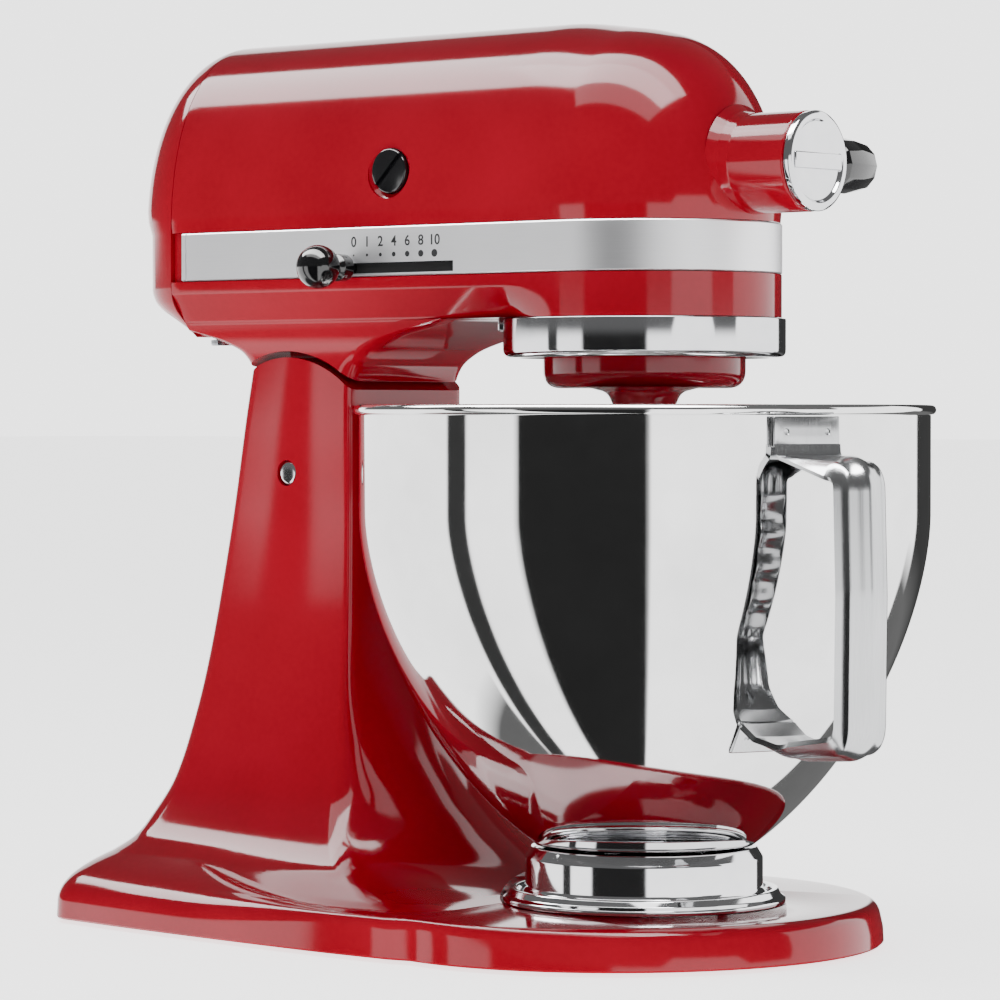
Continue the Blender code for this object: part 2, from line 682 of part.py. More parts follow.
def make_rear_cover():
    """Domed tail cover with a slanted underside."""
    outer = [cover_underside(tail_loop(HEAD_RADIUS, height), part) for height, part in COVER_UNDER]
    for height in CROWN_LEVELS[1:]:
        outer.append(tail_loop(head_radius(height), height))
    outer.append(tail_loop(2.0, 353.8))
    inner = [cover_underside(tail_loop(HEAD_RADIUS - COVER_WALL, height), part)
             for height, part in COVER_ROOM]
    for height in CROWN_LEVELS[1::2]:
        inner.append(tail_loop(max(head_radius(height) - COVER_WALL, 1.5), height - SHELL,
                               COVER_WALL))
    node = add_node("rear_cover", loft(outer), "enamel")
    boolean(node, add_tool("cut_cover_room", loft(inner)))
    front = block((SEAM_X - GAP / 2.0, -90.0, 200.0), (120.0, 90.0, 400.0))
    boolean(node, add_tool("cut_front_rear_cover", front))
    cut_bore(node, 7.4, 226.0, 252.0, GLAND_PLACE, steps=20)
    cut_bore(node, 2.6, 226.0, 250.0, COVER_SCREW_PLACE, steps=14)


def cover_underside(loop, part):
    """Draw a tail loop in towards the seam for the slanted underside."""
    width = 0.70 + 0.30 * part
    return [(SEAM_X + (x - SEAM_X) * part if x < SEAM_X else x, y * width, z)
            for x, y, z in loop]


def make_cover_fittings():
    """Screw and cable inlet in the cover's underside."""
    x, y = COVER_SCREW_PLACE
    outline = [(0, 231.6), (4.0, 231.6), (4.3, 232.4), (4.3, 233.8), (2.2, 234.2), (2.2, 247.0),
               (0, 247.0)]
    add_node("rear_cover_screw", turn(outline, 16, (x, y)), "steel", (x, y, 233.0))
    x, y = GLAND_PLACE
    outline = [(3.6, 232.5), (8.2, 232.5), (8.8, 233.5), (8.8, 234.0), (7.0, 234.0), (7.0, 250.0),
               (3.6, 250.0)]
    add_node("cord_gland", turn(outline, 20, (x, y)), "rubber", (x, y, 233.0))


def make_trim_band():
    """Chromed strip round the head, with a slot for each slide lever."""
    low, high = BAND_BOTTOM, HEAD_SHOULDER_Z
    inner = HEAD_RADIUS - BAND_DEPTH
    loops = [head_loop(inner, low), head_loop(HEAD_RADIUS + 0.1, low),
             head_loop(HEAD_RADIUS + 0.1, high), head_loop(inner, high)]
    node = add_node("trim_band", loft(loops, closed=True), "chrome")
    cut_behind(node, BAND_REAR_X)
    for side in (-1.0, 1.0):
        x = SLIDE_X if side < 0 else LOCK_X
        travel = SLIDE_TRAVEL if side < 0 else LOCK_TRAVEL
        low, high = sorted((side * 45.0, side * 60.0))
        slot = block((x - 4.5, low, SLIDE_Z - 2.6), (x + travel + 4.5, high, SLIDE_Z + 2.6))
        boolean(node, add_tool("cut_band_slot_" + ("near" if side < 0 else "far"), slot))


def make_drip_ring():
    """Chrome ring pushed on under the nose."""
    low, high = 225.6, NOSE_BOTTOM - GAP
    outline = [(50.6, high), (50.6, low + 1.6), (48.4, low + 0.5), (48.4, low), (50.0, low),
               (52.6, low + 1.0), (53.7, low + 3.4), (54.0, low + 6.0), (54.0, high)]
    add_node("drip_ring", turn(outline, 32), "chrome")


def make_hub_parts():
    """Pull-off cap and clamping knob of the attachment hub."""
    face = HUB_FACE_X + GAP
    outline = [(0, face), (18.0, face), (18.7, face + 0.6), (18.7, face + 2.0), (17.6, face + 3.0),
               (15.6, face + 3.0), (15.0, face + 2.2), (0, face + 2.2)]
    node = add_node("hub_cover", turn(outline, 24, (0.0, MOTOR_Z), "X"), "chrome",
                    (face, 0.0, MOTOR_Z))
    rib = block((face + 1.5, -14.2, MOTOR_Z - 3.0), (face + 3.4, 14.2, MOTOR_Z + 3.0), 0.5)
    boolean(node, add_tool("add_cover_rib", rib), "UNION")
    spigot = rod(HUB_BORE - 0.6, face - 7.0, face + 1.0, (0.0, MOTOR_Z), "X", 24)
    boolean(node, add_tool("add_cover_spigot", spigot), "UNION")
    outline = [(0, 14.6), (3.9, 14.6), (3.9, 22.5), (9.6, 22.5), (9.6, 26.0), (7.6, 46.0),
               (6.8, 47.0), (0, 47.0)]
    add_node("attachment_knob", turn(outline, 12, (69.0, MOTOR_Z), "Y"), "plastic",
             (69.0, 0.0, MOTOR_Z))


# ---------------------------------------------------------------- motor and gear train

def make_motor():
    """Stator, wound rotor, commutator, fan, bearings and the brushes."""
    along = (0.0, MOTOR_Z)
    add_node("stator", stator_shape(), "iron")
    add_node("rotor_core", slotted_core(), "copper", (0.0, 0.0, MOTOR_Z))
    add_node("commutator", tube(4.3, 11.0, -95.0, -76.0, along, "X", 24), "copper",
             (0.0, 0.0, MOTOR_Z))
    fan = loft([[(x, y, MOTOR_Z + z) for y, z in gear_outline(9, 9.0, 31.0, 0.0, 0.28, 0.34)]
                for x in (-182.0, -176.0)])
    node = add_node("cooling_fan", fan, "coated", (0.0, 0.0, MOTOR_Z))
    cut_bore(node, 4.3, -182.0, -176.0, along, "X", 16)
    add_node("front_bearing", tube(4.3, 11.0, -70.0, -62.0, along, "X", 24), "bronze")
    add_node("rear_bearing", tube(4.3, 11.0, -196.0, -187.0, along, "X", 24), "bronze")
    for side, word in ((-1.0, "near"), (1.0, "far")):
        low, high = sorted((side * 26.0, side * 45.5))
        add_node("brush_holder_" + word,
                 tube(5.2, 7.6, low, high, (BRUSH_X, MOTOR_Z), "Y", 20), "bronze")
        low, high = sorted((side * 11.3, side * 32.0))
        add_node("carbon_brush_" + word,
                 block((BRUSH_X - 3.4, low, MOTOR_Z - 3.4), (BRUSH_X + 3.4, high, MOTOR_Z + 3.4),
                       0.3), "rubber")
        low, high = sorted((side * 46.0, side * 51.8))
        cap = add_node("brush_cap_" + word,
                       rod(8.5, low, high, (BRUSH_X, MOTOR_Z), "Y", 28, 0.4), "plastic")
        boolean(cap, add_tool("cut_coin_slot_" + word, coin_slot(side)))


def coin_slot(side):
    """Slanted screwdriver slot across a brush cap."""
    bm = block((-1.3, -1.5, -12.0), (1.3, 1.5, 12.0))
    place = Matrix.Translation((BRUSH_X, side * 51.9, MOTOR_Z))
    bmesh.ops.transform(bm, matrix=place @ Matrix.Rotation(math.radians(45.0), 4, "Y"),
                        verts=bm.verts)
    return bm


def stator_shape():
    """Laminated field ring with flats above and below."""
    outer = []
    inner = []
    for i in range(24):
        a = 2.0 * math.pi * (i + 0.5) / 24
        outer.append((36.0 * math.cos(a), max(-31.0, min(31.0, 36.0 * math.sin(a)))))
        inner.append((23.8 * math.cos(a), 23.8 * math.sin(a)))
    loops = []
    for ring, x in ((inner, -168.0), (outer, -168.0), (outer, -108.0), (inner, -108.0)):
        loops.append([(x, y, MOTOR_Z + z) for y, z in ring])
    return loft(loops, closed=True)


def slotted_core():
    """Rotor core with winding slots along it, on the armature shaft."""
    outline = gear_outline(12, 19.0, 23.0, 0.0, 0.36, 0.33)
    inner = [(4.3 * math.cos(2 * math.pi * i / 48), 4.3 * math.sin(2 * math.pi * i / 48))
             for i in range(48)]
    loops = []
    for ring, x in ((inner, -165.0), (outline, -165.0), (outline, -111.0), (inner, -111.0)):
        loops.append([(x, y, MOTOR_Z + z) for y, z in ring])
    return loft(loops, closed=True)


def worm_radius(turned):
    """Radius of the single-start thread at a fraction of its lead."""
    t = abs((turned + 0.5) % 1.0 - 0.5)
    root, tip = WORM_PITCH_RADIUS - 1.5, WORM_PITCH_RADIUS + 1.3
    if t < 0.12:
        return tip
    if t < 0.28:
        return tip + (root - tip) * (t - 0.12) / 0.16
    return root


def make_armature_shaft():
    """Motor shaft with the single-start worm cut on its front end."""
    sides = 10
    start, turns = WORM_GEAR_X - 2.0 * WORM_LEAD, 4.0
    loops = [shaft_loop(-199.0, 3.6, sides), shaft_loop(-198.4, 4.0, sides),
             shaft_loop(start - 3.0, 4.0, sides)]
    sections = int(turns * sides)
    for i in range(sections + 1):
        x = start + WORM_LEAD * turns * i / sections
        fade = ease(min(i, sections - i) / 6.0)
        loop = []
        for k in range(sides):
            a = 2.0 * math.pi * k / sides
            turned = (x - WORM_GEAR_X) / WORM_LEAD - WORM_HAND * k / sides
            radius = 3.5 + fade * (worm_radius(turned) - 3.5)
            loop.append((x, radius * math.cos(a), MOTOR_Z + radius * math.sin(a)))
        loops.append(loop)
    end = start + WORM_LEAD * turns
    loops += [shaft_loop(end + 1.0, 3.5, sides), shaft_loop(end + 3.0, 3.5, sides)]
    add_node("armature_shaft", loft(loops), "steel", (0.0, 0.0, MOTOR_Z))


def shaft_loop(x, radius, sides):
    """Round section across the motor shaft."""
    return [(x, radius * math.cos(2 * math.pi * k / sides),
             MOTOR_Z + radius * math.sin(2 * math.pi * k / sides)) for k in range(sides)]


def make_worm_gear():
    """Bronze wheel driven by the worm, and the pinion shaft below it."""
    centre = (WORM_GEAR_X, WORM_OFFSET)
    root, tip = WORM_GEAR_RADIUS - 1.5, WORM_GEAR_RADIUS + 1.2
    lead_angle = math.atan(WORM_LEAD / (2.0 * math.pi * WORM_PITCH_RADIUS))
    loops = []
    for part in (-1.0, 0.0, 1.0):
        height = MOTOR_Z + 3.5 * part
        twist = WORM_HAND * 3.5 * part * math.tan(lead_angle) / WORM_GEAR_RADIUS
        phase = -math.pi / 2.0 + math.pi / WORM_TEETH + twist
        outline = gear_outline(WORM_TEETH, root, tip, phase, 0.28, 0.14, centre)
        loops.append([(x, y, height) for x, y in outline])
    node = add_node("worm_gear", loft(loops), "bronze", (*centre, 0.0))
    cut_bore(node, 5.3, 290.0, 304.0, centre, steps=20)
    low, high = 261.0, 271.0
    root = SPUR_MODULE * (PINION_TEETH / 2.0 - 1.15)
    tip = SPUR_MODULE * (PINION_TEETH / 2.0 + 0.85)
    toward = math.atan2(-WORM_OFFSET, -WORM_GEAR_X)
    outline = gear_outline(PINION_TEETH, root, tip, toward, 0.28, 0.12, centre)
    node = add_node("pinion_shaft", prism(outline, low, high), "steel", (*centre, 0.0))
    shaft = turn([(0, 254.0), (5.0, 254.0), (5.0, 306.0), (0, 306.0)], 20, centre)
    boolean(node, add_tool("add_pinion_spindle", shaft), "UNION")


def make_centre_drive():
    """Vertical shaft with its spur gear and mitre gear, turning the planetary."""
    shaft = [(0, 219.0), (5.7, 219.0), (5.7, 291.0), (0, 291.0)]
    add_node("center_shaft", turn(shaft, 20), "steel")
    toward = math.atan2(WORM_OFFSET, WORM_GEAR_X)
    root = SPUR_MODULE * (CENTRE_TEETH / 2.0 - 1.15)
    tip = SPUR_MODULE * (CENTRE_TEETH / 2.0 + 0.85)
    outline = gear_outline(CENTRE_TEETH, root, tip, toward + math.pi / CENTRE_TEETH, 0.27, 0.13)
    node = add_node("center_gear", prism(outline, 262.0, 270.0), "bronze")
    cut_bore(node, 6.0, 262.0, 270.0)
    bevel = [[(x, y, MOTOR_Z - h) for x, y in mitre_outline(h, 0.0)] for h in (8.5, 14.0)]
    node = add_node("center_bevel", loft(bevel), "steel")
    cut_bore(node, 6.0, 280.0, 292.0)


def mitre_outline(distance, phase):
    """Teeth of a mitre gear at a distance from the crossing of its axes."""
    return gear_outline(MITRE_TEETH, distance * 0.86, distance * 1.10, phase, 0.27, 0.12)


def make_hub_drive():
    """Horizontal shaft from the mitre gears to the attachment socket."""
    half_tooth = math.pi / MITRE_TEETH
    bevel = [[(h, a, MOTOR_Z + b) for a, b in mitre_outline(h, -math.pi / 2.0 + half_tooth)]
             for h in (8.5, 14.0)]
    node = add_node("hub_bevel_gear", loft(bevel), "steel", (0.0, 0.0, MOTOR_Z))
    cut_bore(node, 4.8, 8.0, 16.0, (0.0, MOTOR_Z), "X", 16)
    along = (0.0, MOTOR_Z)
    outline = [(0, 8.8), (4.5, 8.8), (4.5, 40.0), (8.5, 40.0), (8.5, 58.0), (0, 58.0)]
    node = add_node("hub_drive_shaft", turn(outline, 20, along, "X"), "steel",
                    (0.0, 0.0, MOTOR_Z))
    boolean(node, add_tool("cut_square_socket",
                           block((44.0, -4.2, MOTOR_Z - 4.2), (60.0, 4.2, MOTOR_Z + 4.2))))


def make_brackets():
    """Parts that carry bearings and the speed control."""
    frame = block((-72.0, -28.0, 268.0), (-60.0, 28.0, 326.0), 1.0)
    node = add_node("worm_bracket", frame, "iron")
    cut_bore(node, 11.3, -74.0, -58.0, (0.0, MOTOR_Z), "X", 24)
    plate = block((-207.0, -30.0, 266.0), (-204.0, 30.0, 328.0), 0.8)
    node = add_node("speed_plate", plate, "coated")
    cut_bore(node, 6.0, -208.0, -203.0, (0.0, MOTOR_Z), "X", 16)
    board = block((-222.0, -24.0, 268.0), (-220.0, 24.0, 316.0), 0.3)
    add_node("control_board", board, "board")


def make_slides():
    """Speed lever and head lock, each a knob on a slide behind the band."""
    for side, word, x in ((-1.0, "speed", SLIDE_X), (1.0, "lock", LOCK_X)):
        stem = [(0, 50.0), (2.1, 50.0), (2.1, 55.5), (5.0, 56.5), (5.4, 61.0), (4.4, 63.2),
                (6.4, 65.2), (8.2, 68.4), (8.5, KNOB_Y), (7.6, 75.0), (5.2, 78.0), (2.4, 79.2),
                (0, 79.5)]
        bm = turn([(r, side * h) for r, h in stem], 16, (x, SLIDE_Z), "Y")
        add_node(word + "_knob", bm, "plastic", (x, side * KNOB_Y, SLIDE_Z))
        low, high = sorted((side * 44.4, side * 47.4))
        bm = block((x - 26.0, low, SLIDE_Z - 5.5), (x + 6.0, high, SLIDE_Z + 5.5), 0.4)
        lever = add_node(word + "_lever", bm, "steel", (x, side * 46.0, SLIDE_Z))
        low, high = sorted((side * 47.0, side * 49.7))
        boolean(lever, add_tool("add_lever_boss_" + word,
                                block((x - 2.0, low, SLIDE_Z - 2.0), (x + 2.0, high, SLIDE_Z + 2.0))),
                "UNION")


# ---------------------------------------------------------------- planetary and beater

def make_planetary():
    """Painted planetary casting with the offset boss, and the gears it carries."""
    ux, uy = math.cos(BEATER_ANGLE), math.sin(BEATER_ANGLE)
    place = (ORBIT * ux, ORBIT * uy)
    disc = [(0, 213.2), (29.0, 213.2), (33.5, 214.2), (37.0, 217.0), (38.6, 220.8), (38.7, 227.6),
            (0, 227.6)]
    node = add_node("planetary", turn(disc, 32), "enamel")
    boss = [(0, 201.0), (11.0, 201.0), (11.8, 202.0), (12.0, 206.5), (13.0, 209.5), (15.6, 212.0),
            (19.0, 213.8), (0, 214.5)]
    boolean(node, add_tool("add_shaft_boss", turn(boss, 20, place)), "UNION")
    boolean(node, add_tool("cut_center_seat", rod(6.0, 218.7, 232.0, steps=20)))
    cut_bore(node, 6.6, 190.0, 240.0, place, steps=20)
    shaft = [(0, 158.0), (5.6, 158.0), (6.2, 158.8), (6.2, 237.5), (0, 237.5)]
    node = add_node("beater_shaft", turn(shaft, 20, place), "steel", (*place, 0.0))
    cut_bore(node, 1.8, -60.0, 60.0, (place[0], 188.0), "Y", 10)
    pin = rod(1.5, place[1] - 12.6, place[1] + 12.6, (place[0], 188.0), "Y", 10)
    add_node("drive_pin", pin, "steel", (*place, 188.0))
    root = RING_MODULE * (PLANET_TEETH / 2.0 - 1.00)
    tip = RING_MODULE * (PLANET_TEETH / 2.0 + 0.70)
    outline = gear_outline(PLANET_TEETH, root, tip, BEATER_ANGLE, 0.27, 0.12, place)
    node = add_node("planet_pinion", prism(outline, 229.6, 236.4), "steel", (*place, 0.0))
    cut_bore(node, 6.5, 229.0, 237.0, place, steps=20)
    return place


def make_ring_gear():
    """Fixed internal gear that the planet pinion rolls round in."""
    inner_tip = RING_MODULE * (RING_TEETH / 2.0 - 0.70)
    inner_root = RING_MODULE * (RING_TEETH / 2.0 + 1.00)
    phase = BEATER_ANGLE + math.pi / RING_TEETH
    inside = gear_outline(RING_TEETH, inner_root, inner_tip, phase, 0.28, 0.13)
    count = len(inside)
    outside = []
    for i in range(count):
        a = math.atan2(inside[i][1], inside[i][0])
        outside.append((45.0 * math.cos(a), 45.0 * math.sin(a)))
    loops = [[(x, y, z) for x, y in ring] for ring, z in (
        (inside, 229.0), (outside, 229.0), (outside, NOSE_BOTTOM - GAP),
        (inside, NOSE_BOTTOM - GAP))]
    add_node("ring_gear", loft(loops, closed=True), "steel")


def make_flat_beater(place):
    """Coated flat beater: socket, spine and a bowl-shaped frame with cross bars."""
    x0, y0 = place
    half = 4.0
    outline = []
    for i in range(25):
        a = math.pi * i / 24.0
        outline.append((x0 - 53.0 * math.cos(a), 106.0 - 53.0 * math.sin(a)))
    outline += [(x0 + 51.0, 132.0), (x0 + 34.0, 150.0), (x0 + 8.0, 158.0), (x0 - 8.0, 158.0),
                (x0 - 34.0, 150.0), (x0 - 51.0, 132.0)]
    bm = loft([[(x, y0 + s * half, z) for x, z in outline] for s in (-1.0, 1.0)])
    node = add_node("flat_beater", bm, "coated", (x0, y0, 0.0))
    for side in (-1.0, 1.0):
        for low, high, inner, outer in ((112.0, 138.0, 6.5, 46.0), (87.0, 105.0, 6.5, 46.0),
                                        (68.0, 81.0, 6.5, 32.0)):
            window = [(x0 + side * inner, low), (x0 + side * outer * 0.92, low),
                      (x0 + side * outer, (low + high) / 2.0), (x0 + side * outer * 0.9, high - 4.0),
                      (x0 + side * outer * 0.6, high), (x0 + side * inner, high)]
            bm = loft([[(x, y0 + s * 9.0, z) for x, z in window] for s in (-1.0, 1.0)])
            name = "cut_beater_window_" + ("a" if side < 0 else "b") + str(int(low))
            boolean(node, add_tool(name, bm))
    socket = turn([(0, 150.0), (8.5, 150.0), (9.8, 153.0), (9.8, 185.6), (0, 185.6)], 20, place)
    boolean(node, add_tool("add_beater_socket", socket), "UNION")
    boolean(node, add_tool("cut_socket_bore", rod(6.6, 157.6, 200.0, place, steps=20)))


# ---------------------------------------------------------------- bowl

def bowl_radius(height):
    """Outer radius of the bowl: near-cylindrical top, rounded foot."""
    if height >= BOWL_SHOULDER_Z:
        return BOWL_RADIUS
    t = (BOWL_SHOULDER_Z - height) / BOWL_DEPTH
    return BOWL_RADIUS * max(0.0, 1.0 - t ** BOWL_POWER) ** (1.0 / BOWL_POWER)


def make_bowl():
    """Bowl with a rolled rim, and the foot ring under it."""
    levels = (BOWL_SEAT_Z, 45.0, 53.0, 63.0, 76.0, 92.0, 112.0, 138.0, 165.0)
    outer = [(0, BOWL_SEAT_Z - 0.6)] + [(bowl_radius(z), z) for z in levels]
    outer += [(BOWL_RADIUS + 0.3, 202.0), (BOWL_RADIUS + 1.4, 203.4), (111.0, 205.2),
              (110.2, 206.6), (BOWL_RADIUS - 0.4, RIM_TOP), (BOWL_RADIUS - 1.6, 206.0)]
    inner = [(bowl_radius(z) - BOWL_WALL, z + BOWL_WALL * 0.4) for z in levels[:0:-2]]
    inner += [(bowl_radius(BOWL_SEAT_Z) - 3.0, BOWL_SEAT_Z + BOWL_WALL), (0, BOWL_SEAT_Z + 0.9)]
    add_node("bowl", turn(outer + inner, 36), "steel")
    top = BOWL_SEAT_Z - 0.6 - GAP
    low = BASE_TOP + GAP + 2.0 + GAP
    outline = [(FOOT_RING_RADIUS - 8.0, top), (FOOT_RING_RADIUS - 8.0, top - 1.5),
               (FOOT_RING_RADIUS - 1.8, top - 1.5), (FOOT_RING_RADIUS - 1.2, low),
               (FOOT_RING_RADIUS + 1.6, low), (FOOT_RING_RADIUS + 1.8, low + 1.4),
               (FOOT_RING_RADIUS, low + 2.6), (FOOT_RING_RADIUS - 0.3, top - 1.2),
               (FOOT_RING_RADIUS - 1.5, top)]
    add_node("bowl_foot", turn(outline, 32), "chrome")


def strip(path, half_width, thickness):
    """A band of rectangular section along a path of (reach, height) pairs."""
    loops = []
    for i, (reach, height) in enumerate(path):
        before = path[max(i - 1, 0)]
        after = path[min(i + 1, len(path) - 1)]
        along = Vector((after[0] - before[0], after[1] - before[1])).normalized()
        side = Vector((along.y, -along.x)) * thickness / 2.0
        corners = []
        for s, w in ((1, -1), (1, 1), (-1, 1), (-1, -1)):
            corners.append((reach + s * side.x, w * half_width, height + s * side.y))
        loops.append(corners)
    return loft(loops)


def make_handle():
    """Strap handle welded to the bowl, with a finger-grip insert inside it."""
    swing = Matrix.Rotation(HANDLE_ANGLE, 4, "Z")
    tab = bowl_radius(84.0)
    path = HANDLE_PATH + ((tab + 1.5, 83.4), (bowl_radius(91.0) + 2.0, 91.5))
    bm = strip(path, HANDLE_HALF_WIDTH, 2.0)
    bmesh.ops.transform(bm, matrix=swing, verts=bm.verts)
    add_node("bowl_handle", bm, "steel")
    steps = 32
    outline = []
    for i in range(steps + 1):
        height = 174.0 - 76.0 * i / steps
        outline.append((140.6 - 1.6 * math.cos(8.0 * math.pi * i / steps), height))
    outline += [(148.2 - 0.6, 100.0), (149.4, 120.0), (149.6, 150.0), (149.0, 171.0), (147.4, 175.0)]
    outline = [(min(r, 149.2), h) for r, h in outline]
    bm = loft([[(r, w * (HANDLE_HALF_WIDTH - 1.5), h) for r, h in outline] for w in (-1, 1)])
    bmesh.ops.transform(bm, matrix=swing, verts=bm.verts)
    add_node("handle_grip", bm, "steel")


def build():
    """Make every node in order, from the table up."""
    make_pedestal()
    make_base_plate()
    make_feet()
    make_clamp_plate()
    make_hinge_pin()
    make_upper_housing()
    make_lower_housing()
    make_rear_cover()
    make_cover_fittings()
    make_trim_band()
    make_drip_ring()
    make_hub_parts()
    make_motor()
    make_armature_shaft()
    make_worm_gear()
    make_centre_drive()
    make_hub_drive()
    make_brackets()
    make_slides()
    place = make_planetary()
    make_ring_gear()
    make_flat_beater(place)
    make_bowl()
    make_handle()


clear_scene()
FRAME = make_frame()
build()
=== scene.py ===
"""Looks of the tilt-head stand mixer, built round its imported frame.

Shapes are worked out in millimetres about the bowl's axis (+X to the mixer's front, +Y to
its left, +Z up from the table) and become metres when a mesh is made.
"""
import logging
import math
from collections.abc import Callable, Iterable, Sequence
from dataclasses import dataclass, field
from enum import Enum

import bmesh
import bpy
from mathutils import Matrix, Vector


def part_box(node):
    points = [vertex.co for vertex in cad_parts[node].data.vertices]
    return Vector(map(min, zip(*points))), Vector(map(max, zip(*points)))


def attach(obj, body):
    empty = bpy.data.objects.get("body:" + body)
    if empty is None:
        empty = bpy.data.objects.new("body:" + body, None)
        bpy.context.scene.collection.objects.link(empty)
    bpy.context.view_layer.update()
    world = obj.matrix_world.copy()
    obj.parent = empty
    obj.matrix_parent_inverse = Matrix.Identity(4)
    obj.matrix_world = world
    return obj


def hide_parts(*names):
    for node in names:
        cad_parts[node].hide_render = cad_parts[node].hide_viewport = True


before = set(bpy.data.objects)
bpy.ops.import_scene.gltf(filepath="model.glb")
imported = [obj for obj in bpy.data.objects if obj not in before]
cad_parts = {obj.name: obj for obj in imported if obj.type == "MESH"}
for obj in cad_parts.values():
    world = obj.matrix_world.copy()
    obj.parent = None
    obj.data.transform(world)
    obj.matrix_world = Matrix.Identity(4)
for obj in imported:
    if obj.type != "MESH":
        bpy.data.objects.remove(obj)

LOG = logging.getLogger("mixer")
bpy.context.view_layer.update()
MM = 0.001
Point = tuple[float, float, float]
Pair = tuple[float, float]


def middle(node: str, axis: int) -> float:
    """Centre of a CAD node along one axis, in millimetres."""
    low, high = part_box(node)
    return (low[axis] + high[axis]) / 2.0 / MM


def edge(node: str, axis: int, high: bool) -> float:
    """Lowest or highest coordinate of a CAD node along one axis, in millimetres."""
    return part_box(node)[1 if high else 0][axis] / MM


AXIS_X = middle("bowl", 0)
PIN_X = middle("hinge_pin", 0) - AXIS_X
PIN_Z = middle("hinge_pin", 2)
MOTOR_Z = middle("commutator", 2)
SLIDE_Z = middle("speed_knob", 2)
SLIDE_X = middle("speed_knob", 0) - AXIS_X
LOCK_X = middle("lock_knob", 0) - AXIS_X
BRUSH_X = middle("brush_cap_near", 0) - AXIS_X
SHAFT_X = middle("beater_shaft", 0) - AXIS_X
SHAFT_Y = middle("beater_shaft", 1)
RIM_TOP = edge("bowl", 2, True)
BAND_LOW = edge("trim_band", 2, False)
BAND_HIGH = edge("trim_band", 2, True)


class Body(str, Enum):
    """Rigid bodies that pieces ride on."""

    BASE = "base"
    BOWL = "bowl_unit"
    HEAD = "head"
    SPEED = "speed_control"
    LOCK = "head_lock"
    CAP = "hub_cap"
    HUB_SCREW = "hub_screw"
    PLANETARY = "planetary_unit"
    BEATER = "beater_unit"


class Axis(Enum):
    """Directions that a turned piece may lie along."""

    X = "X"
    Y = "Y"
    Z = "Z"


# ------------------------------------------------------------------ finishes


def srgb(code: str) -> tuple[float, float, float, float]:
    """Turn an sRGB hex colour into linear values.

    Args:
        code: colour such as "#A01018".

    Returns:
        Linear red, green, blue and an alpha of one.
    """
    values = [int(code[i:i + 2], 16) / 255.0 for i in (1, 3, 5)]
    linear = [v / 12.92 if v <= 0.04045 else ((v + 0.055) / 1.055) ** 2.4 for v in values]
    return (*linear, 1.0)


def put(tree: bpy.types.NodeTree, kind: str, settings: dict | None = None,
        links: dict | None = None) -> bpy.types.Node:
    """Add a shader node with its settings and links.

    Args:
        tree: node tree to add to.
        kind: node type name.
        settings: values by property name, or by input name or number.
        links: output sockets by input name or number.

    Returns:
        The new node.
    """
    node = tree.nodes.new(kind)
    for key, value in (settings or {}).items():
        if isinstance(key, str) and hasattr(node, key):
            setattr(node, key, value)
        else:
            node.inputs[key].default_value = value
    for key, socket in (links or {}).items():
        tree.links.new(socket, node.inputs[key])
    return node


@dataclass(frozen=True)
class Finish:
    """A surface finish that becomes one procedural material.

    The pattern is noise at a real scale on Object coordinates, stretched along grain.
    """

    name: str
    dark: str
    light: str
    roughness: float
    spread: float = 0.04
    metallic: float = 0.0
    ior: float | None = 1.5
    coat: float = 0.0
    coat_roughness: float = 0.03
    pattern_mm: float = 2.0
    grain: Point = (1.0, 1.0, 1.0)
    bump_mm: float = 0.0
    mottle_mm: float = 60.0

    def build(self) -> bpy.types.Material:
        """Make the material.

        Returns:
            A node material with colour, roughness and bump from its pattern.
        """
        material = bpy.data.materials.new(self.name)
        material.use_nodes = True
        tree = material.node_tree
        shader = tree.nodes["Principled BSDF"]
        shader.inputs["Metallic"].default_value = self.metallic
        if self.ior is not None:
            shader.inputs["IOR"].default_value = self.ior
        shader.inputs["Coat Weight"].default_value = self.coat
        shader.inputs["Coat Roughness"].default_value = self.coat_roughness
        place = put(tree, "ShaderNodeTexCoord").outputs["Object"]
        grain = put(tree, "ShaderNodeMapping", {"Scale": self.grain}, {"Vector": place})
        fine = put(tree, "ShaderNodeTexNoise", {"Scale": 1.0 / (self.pattern_mm * MM), "Detail": 3.0},
                   {"Vector": grain.outputs[0]})
        broad = put(tree, "ShaderNodeTexNoise", {"Scale": 1.0 / (self.mottle_mm * MM), "Detail": 2.0},
                    {"Vector": place})
        self.colour(tree, shader, fine.outputs[0], broad.outputs[0])
        rough = put(tree, "ShaderNodeMapRange", {"To Min": max(0.0, self.roughness - self.spread),
                                                 "To Max": self.roughness + self.spread},
                    {"Value": fine.outputs[0]})
        tree.links.new(rough.outputs[0], shader.inputs["Roughness"])
        if self.bump_mm > 0.0:
            bump = put(tree, "ShaderNodeBump", {"Strength": 1.0, "Distance": self.bump_mm * MM},
                       {"Height": fine.outputs[0]})
            tree.links.new(bump.outputs[0], shader.inputs["Normal"])
        return material

    def colour(self, tree: bpy.types.NodeTree, shader: bpy.types.Node,
               fine: bpy.types.NodeSocket, broad: bpy.types.NodeSocket) -> None:
        """Colour the surface between its dark and light tones.

        Args:
            tree: node tree of the material.
            shader: its Principled node.
            fine: noise at the pattern's scale.
            broad: noise at the scale of the whole piece.
        """
        both = put(tree, "ShaderNodeMath", {"operation": "MULTIPLY_ADD", 1: 0.35},
                   {0: fine, 2: broad})
        ramp = put(tree, "ShaderNodeValToRGB", None, {0: both.outputs[0]})
        ramp.color_ramp.elements[0].position = 0.35
        ramp.color_ramp.elements[0].color = srgb(self.dark)
        ramp.color_ramp.elements[1].position = 1.0
        ramp.color_ramp.elements[1].color = srgb(self.light)
        tree.links.new(ramp.outputs[0], shader.inputs["Base Color"])


